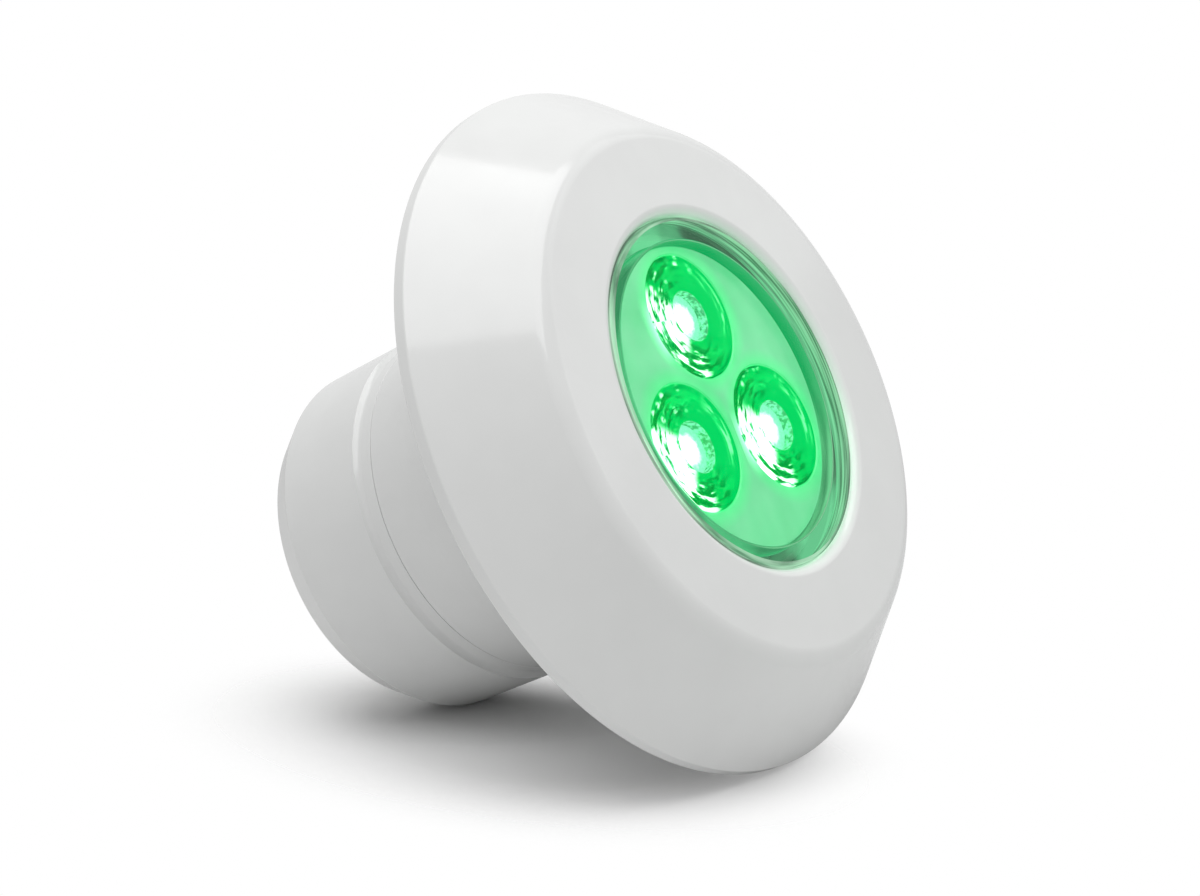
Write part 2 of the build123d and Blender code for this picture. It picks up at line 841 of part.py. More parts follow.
with BuildPart() as terminal_screws:
    with BuildSketch(level(terminal_end + terminal_well_depth - terminal_screw_height)):
        with Locations(*terminal_screw_places):
            Circle(terminal_well_radius - seat_gap)
    extrude(amount=terminal_screw_height)
    with BuildSketch(level(terminal_end + terminal_well_depth - terminal_screw_height)):
        with Locations(*terminal_screw_places):
            Rectangle(2 * terminal_well_radius, slot_width)
    extrude(amount=slot_depth, mode=Mode.SUBTRACT)
terminal_screws.part.label = "terminal_screws"
export_step(terminal_screws.part, "parts/terminal_screws.step")

# ---------------------------------------------------------------- rear cap and its seal

cap_groove_half = cap_seal_section / 2 + seat_gap

with BuildPart() as rear_cap:
    with BuildSketch(section()):
        with BuildLine():
            outline(
                (cap_bore_radius, cap_front),
                (cap_radius, cap_front, cap_lip_round),
                (cap_radius, cap_back + cap_taper_length),
                (cap_radius - cap_taper_depth, cap_back),
                (pocket_radius, cap_back),
                (pocket_radius, pocket_floor),
                (gland_stem_radius + thread_gap, pocket_floor),
                (gland_stem_radius + thread_gap, pocket_inside),
                (pocket_radius + pocket_wall, pocket_inside),
                (pocket_radius + pocket_wall, cap_inside),
                (cap_bore_radius - cap_corner, cap_inside),
                (cap_bore_radius, cap_inside + cap_corner),
                (cap_bore_radius, cap_seal_height - cap_groove_half),
                (cap_groove_radius, cap_seal_height - cap_groove_half),
                (cap_groove_radius, cap_seal_height + cap_groove_half),
                (cap_bore_radius, cap_seal_height + cap_groove_half),
            )
        make_face()
    revolve(axis=Axis.Y)
    with BuildSketch(level(cap_back)):
        with Locations(*around(2, spanner_hole_circle, 0)):
            Circle(spanner_hole_radius)
    extrude(amount=spanner_hole_depth, mode=Mode.SUBTRACT)
rear_cap.part.label = "rear_cap"
export_step(rear_cap.part, "parts/rear_cap.step")

with BuildPart() as cap_seal:
    with BuildSketch(section()):
        with Locations(((spigot_radius + cap_groove_radius) / 2, cap_seal_height)):
            Circle(cap_seal_section / 2)
    revolve(axis=Axis.Y)
cap_seal.part.label = "cap_seal"
export_step(cap_seal.part, "parts/cap_seal.step")

# ---------------------------------------------------------------- cable gland

with BuildPart() as gland_body:
    with BuildSketch(section()):
        with BuildLine():
            outline(
                (gland_bore_radius, stem_top),
                (gland_stem_radius, stem_top),
                (gland_stem_radius, gland_flange_end),
                (gland_end_radius, gland_flange_end),
                (gland_end_radius, gland_end),
                (sleeve_radius + seat_gap, gland_end),
                (sleeve_radius + seat_gap, sleeve_seat),
                (gland_bore_radius, sleeve_seat),
            )
        make_face()
    revolve(axis=Axis.Y)
    with BuildSketch(level(gland_flange_end)):
        RegularPolygon(gland_flange_flats / 2, 6, major_radius=False)
        Circle(gland_stem_radius, mode=Mode.SUBTRACT)
    extrude(amount=gland_flange_height)
    with BuildSketch(level(pocket_floor - gland_seal_section - seat_gap)):
        Circle(gland_seal_circle + gland_seal_section / 2 + seat_gap)
        Circle(gland_seal_circle - gland_seal_section / 2 - seat_gap, mode=Mode.SUBTRACT)
    extrude(amount=gland_seal_section + seat_gap, mode=Mode.SUBTRACT)
gland_body.part.label = "gland_body"
export_step(gland_body.part, "parts/gland_body.step")

with BuildPart() as gland_seal:
    with BuildSketch(section()):
        with Locations((gland_seal_circle, pocket_floor - (gland_seal_section + seat_gap) / 2)):
            Circle(gland_seal_section / 2)
    revolve(axis=Axis.Y)
gland_seal.part.label = "gland_seal"
export_step(gland_seal.part, "parts/gland_seal.step")

with BuildPart() as gland_locknut:
    with BuildSketch(level(pocket_inside)):
        RegularPolygon(locknut_flats / 2, 6, major_radius=False)
        Circle(gland_stem_radius + thread_gap, mode=Mode.SUBTRACT)
    extrude(amount=locknut_height)
gland_locknut.part.label = "gland_locknut"
export_step(gland_locknut.part, "parts/gland_locknut.step")

with BuildPart() as cable_sleeve:
    with BuildSketch(section()):
        with BuildLine():
            outline(
                (cable_radius + cable_gap, sleeve_seat),
                (sleeve_radius, sleeve_seat, sleeve_round),
                (sleeve_radius, washer_front + seat_gap, sleeve_round),
                (cable_radius + cable_gap, washer_front + seat_gap),
            )
        make_face()
    revolve(axis=Axis.Y)
cable_sleeve.part.label = "cable_sleeve"
export_step(cable_sleeve.part, "parts/cable_sleeve.step")

with BuildPart() as gland_washer:
    with BuildSketch(level(washer_back)):
        Circle(nut_bore_radius - gland_washer_rim)
        Circle(gland_bore_radius, mode=Mode.SUBTRACT)
    extrude(amount=gland_washer_thickness)
gland_washer.part.label = "gland_washer"
export_step(gland_washer.part, "parts/gland_washer.step")

nut_hex_end = nut_front - gland_nut_hex_height
nut_corner_radius = gland_nut_flats / 2 / cos(pi / 6)

with BuildPart() as gland_nut:
    with BuildSketch(level(nut_hex_end)):
        RegularPolygon(gland_nut_flats / 2, 6, major_radius=False)
    extrude(amount=gland_nut_hex_height)
    with BuildSketch(section()):
        with BuildLine():
            outline(
                (0, nut_front),
                (nut_corner_radius - nut_bevel, nut_front),
                (nut_corner_radius, nut_front - nut_bevel),
                (nut_corner_radius, nut_hex_end + nut_bevel),
                (nut_corner_radius - nut_bevel, nut_hex_end),
                (0, nut_hex_end),
            )
        make_face()
    revolve(axis=Axis.Y, mode=Mode.INTERSECT)
    with BuildSketch(section()):
        with BuildLine():
            outline(
                (0, nut_hex_end),
                (gland_nut_flats / 2 - nut_bevel, nut_hex_end),
                (gland_dome_radius, nut_back, gland_dome_round),
                (0, nut_back),
            )
        make_face()
    revolve(axis=Axis.Y)
    with BuildSketch(section()):
        with BuildLine():
            outline(
                (0, nut_front),
                (nut_bore_radius, nut_front),
                (nut_bore_radius, nut_inside),
                (gland_bore_radius, nut_inside),
                (gland_bore_radius, nut_back),
                (0, nut_back),
            )
        make_face()
    revolve(axis=Axis.Y, mode=Mode.SUBTRACT)
gland_nut.part.label = "gland_nut"
export_step(gland_nut.part, "parts/gland_nut.step")
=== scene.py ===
from math import asin, atan2, cos, hypot, pi, radians, sin, tan

import bmesh
import bpy
from bpy.props import FloatProperty, FloatVectorProperty, IntProperty, PointerProperty
from mathutils import Matrix, Quaternion, Vector


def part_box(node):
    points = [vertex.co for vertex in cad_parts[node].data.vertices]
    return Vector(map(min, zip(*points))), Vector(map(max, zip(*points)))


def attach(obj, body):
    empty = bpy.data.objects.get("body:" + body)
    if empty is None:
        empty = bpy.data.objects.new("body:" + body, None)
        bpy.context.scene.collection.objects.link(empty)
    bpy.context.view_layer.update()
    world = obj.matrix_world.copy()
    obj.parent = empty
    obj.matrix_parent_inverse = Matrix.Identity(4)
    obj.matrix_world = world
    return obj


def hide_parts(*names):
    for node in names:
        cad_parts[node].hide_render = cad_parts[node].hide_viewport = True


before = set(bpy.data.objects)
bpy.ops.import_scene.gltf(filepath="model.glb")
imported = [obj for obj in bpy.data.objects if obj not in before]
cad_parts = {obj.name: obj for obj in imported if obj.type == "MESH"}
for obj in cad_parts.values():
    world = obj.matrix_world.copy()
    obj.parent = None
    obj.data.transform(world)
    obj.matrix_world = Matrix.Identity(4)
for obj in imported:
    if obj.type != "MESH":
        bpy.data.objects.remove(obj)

bl_info = {
    "name": "Underwater pool light",
    "version": (1, 0, 0),
    "blender": (4, 5, 0),
    "location": "View3D > Sidebar > Pool light",
    "description": "Models and finishes the pieces of a pool wall light around its engineering model",
    "category": "Object",
}

MM = 0.001
TIGHT = 0.02 * MM           # two places nearer than this count as one
TURN_GAP = 0.3 * MM         # between pieces that turn, slide or clip on each other
SEAT_GAP = 0.1 * MM         # round pieces dropped into a bore, recess or groove
LED_NUMBERS = (1, 2, 3)
POLYCARBONATE = 1.585       # index of refraction
ACRYLIC = 1.49              # index of refraction
GLOSSY_ABS = 0.13           # roughness


# ---------------------------------------------------------------- sizes read from the frame

def reach(node):
    """Largest radius of a turned piece about the light's axis."""
    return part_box(node)[1].x


def front(node):
    """Height of a piece's front end over the wall plane: the light shines towards -Y."""
    return -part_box(node)[0].y


def back(node):
    """Height of a piece's rear end, negative inside the wall."""
    return -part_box(node)[1].y


def middle(node):
    """(x, z) of a piece's middle."""
    low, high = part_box(node)
    return (low.x + high.x) / 2, (low.z + high.z) / 2


def half_width(node):
    """Half of a piece's width along X."""
    low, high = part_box(node)
    return (high.x - low.x) / 2


def linear(code):
    """An sRGB hex colour as linear RGBA."""
    parts = [int(code[i:i + 2], 16) / 255 for i in (0, 2, 4)]
    return tuple(c / 12.92 if c <= 0.04045 else ((c + 0.055) / 1.055) ** 2.4 for c in parts) + (1.0,)


# ---------------------------------------------------------------- settings that a user would change

def length(name, description, millimetres):
    """A length, given in millimetres and kept in metres."""
    return FloatProperty(
        name=name, description=description, default=millimetres * MM, min=0.0, unit="LENGTH", precision=5
    )


def colour(name, description, code):
    """A colour, given as sRGB hex and kept linear."""
    return FloatVectorProperty(
        name=name,
        description=description,
        default=linear(code),
        size=4,
        min=0.0,
        max=1.0,
        subtype="COLOR",
    )


def angle(name, description, degrees):
    """An angle, given in degrees and kept in radians."""
    return FloatProperty(
        name=name,
        description=description,
        default=radians(degrees),
        subtype="ANGLE",
        unit="ROTATION",
    )


def number(name, description, value):
    """A plain number, share or strength."""
    return FloatProperty(name=name, description=description, default=value, min=0.0)


def count(name, description, value):
    """How many there are of something."""
    return IntProperty(name=name, description=description, default=value, min=2)


class FaceplateSizes(bpy.types.PropertyGroup):
    sides: count("Sides", "Facets round the faceplate", 256)
    rim_height: length("Rim band", "Height of the straight band at the faceplate's rear edge", 2.2)
    rim_break: length("Rim edge", "Bevel on the rear edge of the rim band", 0.4)
    rim_round: length("Rim rounding", "Rounding between the rim band and the cone", 0.5)
    flat_radius: length("Flat face radius", "Where the cone would meet the flat face", 42.3)
    edge_round: length("Edge rounding", "Rounding between the cone and the flat face", 4.0)
    wall: length("Wall", "Thickness of the faceplate's wall", 3.0)
    window_radius: length("Window radius", "Radius of the window opening", 28.2)
    window_round: length("Window lip", "Rounding of the window's lip", 1.75)
    skirt_wall: length("Window skirt wall", "Wall of the skirt behind the window", 2.2)
    skirt_end: length("Window skirt end", "Height at which the window skirt ends", 10.6)
    ring_inner: length("Bayonet ring bore", "Inner radius of the ring that carries the hooks", 38.7)
    ring_wall: length("Bayonet ring wall", "Wall of the ring that carries the hooks", 2.2)
    hook_height: length("Hook height", "Height of the hooks' rear face", 4.35)
    hook_thickness: length("Hook thickness", "Thickness of the bayonet hooks", 1.6)
    hook_reach: length("Hook reach", "How far the hooks stand inside their ring", 2.2)


class BayonetSizes(bpy.types.PropertyGroup):
    quantity: count("Lugs", "Number of bayonet lugs", 3)
    first_angle: angle("First lug", "Angle of the first lug from the X axis", 30.0)
    arc: angle("Lug arc", "Angle that one lug covers", 20.0)
    lug_thickness: length("Lug thickness", "Thickness of the lugs on the housing", 2.0)
    lug_reach: length("Lug reach", "How far the lugs stand outside the lens seat", 2.2)
    stop_radius: length("Stop radius", "Radius of the pins that stop the turn", 1.0)
    stop_angle: angle("Stop place", "Angle from a lug's middle back to its stop", 13.0)


class HousingSizes(bpy.types.PropertyGroup):
    sides: count("Sides", "Facets round the housing", 192)
    seat_wall: length("Lens seat wall", "Wall round the lens seat", 5.2)
    flange_height: length("Flange", "Thickness of the wall flange", 4.0)
    flange_edge: length("Flange edge", "Straight stretch of the flange's edge", 1.9)
    flange_bevel: length("Flange bevel", "Width of the flange's front bevel", 1.65)
    seal_land: length("Seal land", "Height of the land that carries the lens seal", 3.5)
    gasket_depth: length("Gasket recess", "Depth of the gasket's recess", 1.5)
    gasket_offset: length("Gasket offset", "From the barrel to the gasket's bore", 3.0)
    barrel_radius: length("Barrel radius", "Outer radius of the barrel", 29.6)
    barrel_wall: length("Barrel wall", "Wall of the barrel", 3.0)
    neck_length: length("Neck length", "Straight stretch of the barrel behind the wall plane", 25.0)
    draft: length("Draft", "How much the straight stretch narrows for moulding", 0.2)
    neck_round: length("Neck rounding", "Rounding between the neck and its taper", 6.0)
    taper_length: length("Taper length", "Taper from the neck to the parting line", 8.5)
    taper_depth: length("Taper depth", "How far the taper falls in", 1.0)
    spigot_radius: length("Spigot radius", "Outer radius of the spigot inside the rear cap", 26.3)
    spigot_wall: length("Spigot wall", "Wall of the spigot", 3.0)
    screw_circle: length("Screw circle", "Radius of the circle of the wall screws", 45.0)
    screw_hole: length("Screw hole", "Radius of the wall screws' holes", 2.25)
    screw_count: count("Wall screws", "Number of wall screws", 4)


class OpticSizes(bpy.types.PropertyGroup):
    sides: count("Sides", "Facets round the lens and the optic plate", 192)
    lens_thickness: length("Lens", "Thickness of the clear window lens", 3.0)
    lens_wall: length("Lens wall", "Side wall of the lens", 3.2)
    lens_round: length("Lens edge", "Rounding of the lens's front edge", 0.8)
    foot_top: length("Lens foot top", "Height of the clamped face of the lens foot", 7.9)
    plate_thickness: length("Optic plate", "Thickness of the optic plate", 1.7)
    plate_wall: length("Plate skirt", "Wall of the optic plate's skirt", 1.6)
    rim: length("Collimator rim", "Height of the rim round each collimator", 1.2)
    shoulder: length("Collimator shoulder", "From the rim's edge to the curved flank", 0.65)
    base_radius: length("Collimator base", "Radius of the collimator's base", 4.4)
    flank_radius: length("Flank curve", "Radius of the curved flank", 15.0)
    flank_steps: count("Flank steps", "Facets along the curved flank", 7)
    cavity_radius: length("Cavity radius", "Radius of the cavity over the LED", 2.6)
    cavity_depth: length("Cavity depth", "Depth of the cavity over the LED", 3.2)
    well_radius: length("Well radius", "Radius of the well in the collimator's front", 4.0)
    well_depth: length("Well depth", "Depth of the well in the collimator's front", 1.6)
    hot_radius: length("Hot spot radius", "Radius of the LED's white spot on the well's bottom", 2.7)
    facets: count("Flank facets", "Facets round each collimator", 72)
    led_base: length("LED base", "Height of the LED's ceramic base", 0.75)
    led_edge: length("LED edge", "Bevel on the edges of the LED's ceramic base", 0.12)
    led_dome: length("LED dome", "Radius of the LED's dome", 1.5)


class RearCapSizes(bpy.types.PropertyGroup):
    sides: count("Sides", "Facets round the rear cap", 192)
    wall: length("Wall", "Wall of the rear cap", 2.9)
    lip_length: length("Lip length", "Length of the hollowed lip at the cap's front", 3.0)
    lip_depth: length("Lip depth", "How far the lip falls in from the cap's side", 0.95)
    lip_reach: length("Lip reach", "How far the lip covers the parting line", 1.25)
    cove_length: length("Cove length", "Length of the hollow next to the cap's front edge", 1.2)
    cove_depth: length("Cove depth", "Depth of the hollow next to the cap's front edge", 0.85)
    cove_angle: angle("Cove angle", "Steepness of the hollow at the cap's front edge", 58.0)
    taper_length: length("Taper length", "Length of the taper at the cap's end", 5.4)
    taper_depth: length("Taper depth", "How far the taper falls in", 3.0)
    taper_round: length("Taper rounding", "Rounding where the taper starts", 0.5)
    floor: length("Floor", "Thickness of the cap's end wall", 4.0)
    floor_chamfer: length("Floor chamfer", "Chamfer inside between the end wall and the side", 2.1)
    pocket_radius: length("Pocket radius", "Radius of the pocket round the gland", 13.5)
    pocket_depth: length("Pocket depth", "Depth of the pocket round the gland", 6.0)
    pocket_wall: length("Pocket wall", "Wall round the pocket", 3.5)
    stem_hole: length("Stem hole", "Radius of the hole for the gland's stem", 8.15)
    seal_setback: length("Seal setback", "From the cap's front to the seal's groove", 2.4)
    groove_depth: length("Groove depth", "Depth of the seal's groove", 1.25)
    spanner_circle: length("Spanner circle", "Radius of the circle of the spanner holes", 20.0)
    spanner_hole: length("Spanner hole", "Radius of the spanner holes", 2.2)
    spanner_depth: length("Spanner hole depth", "Depth of the spanner holes", 2.5)


class GlandSizes(bpy.types.PropertyGroup):
    stem_radius: length("Stem radius", "Radius of the gland's stem", 8.0)
    flange_flats: length("Flange flats", "Across the flats of the gland's flange", 22.0)
    flange_height: length("Flange height", "Thickness of the gland's flange", 4.0)
    end_radius: length("End radius", "Radius of the gland's threaded end", 7.4)
    bore_radius: length("Bore radius", "Radius of the bore that passes the cable", 4.2)
    sleeve_bore: length("Sleeve bore", "Radius of the rubber sleeve's bore", 3.6)
    nut_bore: length("Nut bore", "Radius of the bore of the nut", 7.7)
    nut_hex_height: length("Nut hexagon", "Height of the nut's hexagon", 5.5)
    nut_bevel: length("Nut bevel", "Bevel at the ends of the hexagon", 0.8)
    nut_wall: length("Nut wall", "Thickness of the nut's end wall", 2.5)
    dome_radius: length("Dome radius", "Radius of the nut's end", 7.6)
    dome_round: length("Dome rounding", "Rounding of the nut's end", 1.25)


class Finishes(bpy.types.PropertyGroup):
    abs_white: colour("ABS", "White of the moulded ABS", "EDEEED")
    nylon_white: colour("Nylon", "White of the moulded nylon", "DEDED9")
    rubber_grey: colour("Rubber", "Grey of the EPDM rubber", "3A3B3D")
    # Painted light: the colours and strengths below, save the lens tint and the LEDs' own light, are
    # glow, tints, glints and shade painted onto the lit pieces.
    painted_plate_glow: colour("Lit plate", "Light in the optic plate away from the LEDs", "5CC08A")
    painted_plate_glow_pale: colour("Pale patches", "Paler patches of the optic plate", "84CCA6")
    painted_plate_glow_near: colour("Lit plate near an LED", "Light in the optic plate beside an LED", "30F08A")
    painted_holder_glow: colour("Lit holder", "Light on the holders and the board round each LED", "00DC90")
    painted_collimator_tint: colour("Collimator tint", "Colour that is seen through the lit collimators", "A0F2CC")
    painted_ring_glow: colour("Well ring", "Mottled ring round each LED's white spot", "96FAD2")
    painted_collimator_green: colour("Optic green", "Even green light in the front of each collimator", "00E270")
    painted_front_glints: colour("Pale glints", "Dimmer glints in the front of each collimator", "7CF8B4")
    painted_flank_glints: colour("Painted pale glints", "Flecks on the flank of each collimator", "B0FFD0")
    painted_spill_pale: colour("Bloom", "Light that spills from each collimator over the plate", "C0FFDC")
    lens_tint: colour("Lens tint", "Faint tint of the clear polycarbonate", "EEFAF2")
    painted_grey_streaks: colour("Painted grey streaks", "Grey streaks in the lens's side wall", "7E9486")
    painted_wall_and_lip_green: colour("Edge glow", "Light in the lens's side wall at the lip", "B0D2B8")
    painted_wall_foot_green: colour("Deep edge glow", "Light in the lens's side wall at its foot", "74D09A")
    painted_inner_pale: colour("Pale band", "Green of the lens's inner wall under its window", "3CBC7A")
    painted_inner_green: colour("Inner band", "Green of the lens's inner wall beside the plate", "00B062")
    # The LEDs' own light; its colour is also painted as glow into the cavities and onto the holders.
    led_light: colour("LED light", "Colour of the LEDs' domes", "C8FFE0")
    led_strength: number("LED strength", "Strength of the LEDs' light", 14.0)
    painted_spill_strength: number("Bloom strength", "Strength of the light that spills over the plate", 1.1)
    painted_spill_start: length("Bloom start", "How far inside an opening the plate's light is strongest", 1.2)
    painted_spill_end: length("Bloom end", "How far outside an opening the plate's light has faded", 2.8)
    painted_well_wall_power: number("Well strength", "Strength of the light in the wall of each well", 1.7)
    painted_cavity_power: number("Cavity strength", "Strength of the light in each collimator's cavity", 3.0)
    painted_plate_power: number("Plate strength", "Strength of the light in the optic plate", 0.93)
    painted_lip_power: number("Lip glow", "Strength of the green light on the window's lip", 0.16)
    painted_edge_power: number("Edge strength", "Strength of the light in the lens's side wall", 1.0)


class StageSettings(bpy.types.PropertyGroup):
    azimuth: angle("Camera azimuth", "Angle of the camera round the light, from straight ahead", 53.83)
    elevation: angle("Camera elevation", "Angle of the camera over the light's axis", -4.95)
    roll: angle("Camera roll", "Turn of the camera about its own axis", -21.24)
    distance: length("Camera distance", "From the camera to its aim", 355.0)
    lens: number("Camera lens", "Focal length in millimetres", 69.18)
    aim_side: length("Aim offset", "How far the aim lies towards -X", 5.4)
    aim_depth: length("Aim depth", "How far the aim lies behind the wall plane", 7.4)
    floor_reach: length("Floor reach", "Radius of the floor", 600.0)
    floor_clear: length("Floor clearance", "Gap between the floor and what rests on it", 0.05)
    fade_start: length("Fade start", "Where the floor starts to fade into the background", 16.0)
    fade_end: length("Fade end", "Where the floor has faded into the background", 44.0)
    fade_aside: length("Fade offset", "How far the middle of the shadow lies towards -X", 12.0)
    fade_middle: number(
        "Fade middle", "Middle of the shadow, as a share of the way from the rim to the cap", 0.42
    )
    fade_stretch: number("Fade stretch", "Width of the shadow as a share of its length", 0.6)
    paper: colour("Paper", "White of the floor", "ECECEC")
    contact_reach: length("Contact shadow", "How far the darkening under the light reaches", 16.0)
    contact_tone: number("Contact tone", "Tone of the floor right under the light", 0.7)
    paper_gain: number("Floor brightness", "How much brighter the floor is seen than it lights", 1.25)
    ambient: number("Ambient", "Strength of the soft light all round", 0.36)
    mirrored: number("Mirrored room", "Strength of the room in reflections", 0.8)
    key_power: number("Key lamp", "Power of the large softbox above, in watts", 3.2)
    key_height: length("Key height", "Height of the softbox over the object", 600.0)
    key_size: length("Key size", "Side of the square softbox", 700.0)
    key_forward: length("Key offset", "How far the softbox stands towards the camera", 110.0)
    glow_size: length("Glow size", "Side of the green lamp over each collimator", 4.0)
    glow_power: number("Glow", "Power of the green light that leaves each collimator, in watts", 0.002)
    fill_power: number("Fill lamp", "Power of the lamp in front, in watts", 0.3)
    fill_size: length("Fill size", "Side of the square lamp in front", 400.0)
    fill_place: FloatVectorProperty(
        name="Fill place",
        description="Where the lamp in front stands from the camera's aim",
        default=(0.5, -0.42, 0.25),
        subtype="TRANSLATION",
        unit="LENGTH",
    )


# ---------------------------------------------------------------- modelling

def deselect():
    """Leave edit mode with nothing selected."""
    if bpy.context.object and bpy.context.object.mode != "OBJECT":
        bpy.ops.object.mode_set(mode="OBJECT")
    bpy.ops.object.select_all(action="DESELECT")


def take(piece):
    """Select one piece alone and make it active."""
    deselect()
    piece.select_set(True)
    bpy.context.view_layer.objects.active = piece


def settle(piece):
    """Move a piece's place, turn and scale into its mesh."""
    take(piece)
    bpy.ops.object.transform_apply(location=True, rotation=True, scale=True)


def named(name):
    """The object that was just added, under its own name."""
    piece = bpy.context.object
    piece.name = piece.data.name = name
    return piece


def choose_ring(piece, radius, height, place):
    """In edit mode, select the ring of edges at a radius and height about an axis along Y."""
    mesh = bmesh.from_edit_mesh(piece.data)
    for edge in mesh.edges:
        edge.select_set(False)
    for edge in mesh.edges:
        ends = [
            abs(end.co.y + height) < TIGHT
            and abs(hypot(end.co.x - place[0], end.co.z - place[1]) - radius) < TIGHT
            for end in edge.verts
        ]
        if all(ends):
            edge.select_set(True)
    bmesh.update_edit_mesh(piece.data)


def turned(name, corners, sides, place=(0.0, 0.0), closed=True):
    """A turned piece about an axis along Y, from (radius, height, rounding) corners of its outline.

    A closed outline makes a ring; an open one gets a flat cap at each end.
    """
    radius, height = corners[0][:2]
    deselect()
    bpy.ops.mesh.primitive_circle_add(
        vertices=sides, radius=radius, location=(place[0], -height, place[1]), rotation=(pi / 2, 0, 0)
    )
    piece = named(name)
    settle(piece)
    bpy.ops.object.mode_set(mode="EDIT")
    bpy.ops.mesh.select_mode(type="EDGE")
    bpy.ops.mesh.select_all(action="SELECT")
    for corner in corners[1:] + (corners[:1] if closed else []):
        grow = corner[0] / radius
        bpy.ops.mesh.extrude_region_move(TRANSFORM_OT_translate={"value": (0, height - corner[1], 0)})
        bpy.ops.transform.resize(
            value=(grow, 1, grow), center_override=(place[0], -corner[1], place[1])
        )
        radius, height = corner[:2]
    if not closed:
        for corner in (corners[0], corners[-1]):
            choose_ring(piece, corner[0], corner[1], place)
            bpy.ops.mesh.edge_face_add()
    bpy.ops.mesh.select_all(action="SELECT")
    bpy.ops.mesh.remove_doubles(threshold=TIGHT / 4)
    bpy.ops.mesh.normals_make_consistent(inside=False)
    total = len(corners)
    for i, corner in enumerate(corners):
        if len(corner) < 3:
            continue
        spot = Vector(corner[:2])
        before = Vector(corners[i - 1][:2]) if closed or i > 0 else Vector((0, spot.y))
        after = Vector(corners[(i + 1) % total][:2]) if closed or i < total - 1 else Vector((0, spot.y))
        turn = (spot - before).angle(after - spot)
        choose_ring(piece, spot.x, spot.y, place)
        bpy.ops.mesh.bevel(
            offset_type="OFFSET",
            offset=corner[2] * tan(turn / 2),
            segments=max(2, round(turn / radians(8))),
            profile=0.5,
            affect="EDGES",
            clamp_overlap=False,
        )
    bpy.ops.object.mode_set(mode="OBJECT")
    return piece


def cove(radius, height, size):
    """Outline of a hollow that falls in from a place towards the front, steepest at its foot."""
    slope = atan2(size.cove_depth, size.cove_length)
    half = size.cove_angle - slope
    bend = hypot(size.cove_depth, size.cove_length) / 2 / sin(half)
    steps = 6
    turns = [size.cove_angle - 2 * half * i / steps for i in range(steps + 1)]
    return [
        (
            radius + bend * (cos(size.cove_angle) - cos(turn)),
            height + bend * (sin(size.cove_angle) - sin(turn)),
        )
        for turn in turns
    ]


def sector(piece, middle_angle, arc):
    """Keep only the part of a ring within an arc about the light's axis."""
    take(piece)
    bpy.ops.object.mode_set(mode="EDIT")
    for side in (-1, 1):
        edge = middle_angle + side * arc / 2
        bpy.ops.mesh.select_all(action="SELECT")
        bpy.ops.mesh.bisect(
            plane_co=(0, 0, 0),
            plane_no=(-side * sin(edge), 0, side * cos(edge)),
            use_fill=True,
            clear_outer=True,
        )
    bpy.ops.mesh.select_all(action="SELECT")
    bpy.ops.mesh.normals_make_consistent(inside=False)
    bpy.ops.object.mode_set(mode="OBJECT")
    return piece


def around(count, radius, first_angle):
    """Evenly spaced (x, z) places on a circle about the light's axis."""
    angles = [first_angle + i * 2 * pi / count for i in range(count)]
    return [(radius * cos(a), radius * sin(a)) for a in angles]


def pins(name, places, radius, bottom, top, sides):
    """Round pins between two heights, one at each place, as one mesh."""
    made = [
        turned(name, [(radius, top), (radius, bottom)], sides, place, closed=False) for place in places
    ]
    return joined(made)


def prism(name, flats, bottom, top):
    """A hexagonal prism about the light's axis with two corners on X."""
    deselect()
    bpy.ops.mesh.primitive_cylinder_add(
        vertices=6,
        radius=flats / 2 / cos(pi / 6),
        depth=top - bottom,
        location=(0, -(top + bottom) / 2, 0),
        rotation=(pi / 2, pi / 6, 0),
    )
    piece = named(name)
    settle(piece)
    return piece


def joined(pieces):
    """Several meshes as one."""
    deselect()
    for piece in pieces:
        piece.select_set(True)
    bpy.context.view_layer.objects.active = pieces[0]
    if len(pieces) > 1:
        bpy.ops.object.join()
    return pieces[0]


def combine(piece, tool, operation):
    """Cut a tool's shape out of a piece, add it, or keep what both share."""
    take(piece)
    modifier = piece.modifiers.new("Combine", "BOOLEAN")
    modifier.object = tool
    modifier.operation = operation
    modifier.solver = "EXACT"
    bpy.ops.object.modifier_apply(modifier=modifier.name)
    bpy.data.objects.remove(tool)


def copied(piece, name, from_place, to_place):
    """A copy of a piece with its own mesh, moved from one (x, z) place to another."""
    take(piece)
    bpy.ops.object.duplicate(linked=False)
    copy = named(name)
    copy.location = (to_place[0] - from_place[0], 0, to_place[1] - from_place[1])
    settle(copy)
    return copy


def paint(piece, material, chosen):
    """Give a second material to the faces whose middles pass a test of radius and height."""
    piece.data.materials.append(material)
    index = len(piece.data.materials) - 1
    for face in piece.data.polygons:
        if chosen(face.center):
            face.material_index = index


def finished(piece, material, body, nodes, smooth=30):
    """Smooth a piece, weigh its normals to its large faces, and give it its finish, body and nodes."""
    take(piece)
    bpy.ops.object.shade_smooth_by_angle(angle=radians(smooth))
    modifier = piece.modifiers.new("Weighted normals", "WEIGHTED_NORMAL")
    modifier.keep_sharp = True
    bpy.ops.object.modifier_apply(modifier=modifier.name)
    if material:
        piece.data.materials.clear()
        piece.data.materials.append(material)
    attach(piece, body)
    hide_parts(*nodes)
    return piece


# ---------------------------------------------------------------- materials

NOISE = (0.3, 0.7)                            # where most values of a noise texture lie
UNIT = (0.0, 1.0)
SOFT = {"interpolation_type": "SMOOTHSTEP"}   # a step without hard ends
TIMES = {"operation": "MULTIPLY"}
COLOURS = {"data_type": "RGBA"}
FACTOR, FIRST, SECOND = 0, 6, 7               # the inputs of a node that mixes colours


def new_tree(name):
    """A new material with an empty node tree."""
    material = bpy.data.materials.new(name)
    material.use_nodes = True
    material.node_tree.nodes.clear()
    return material, material.node_tree


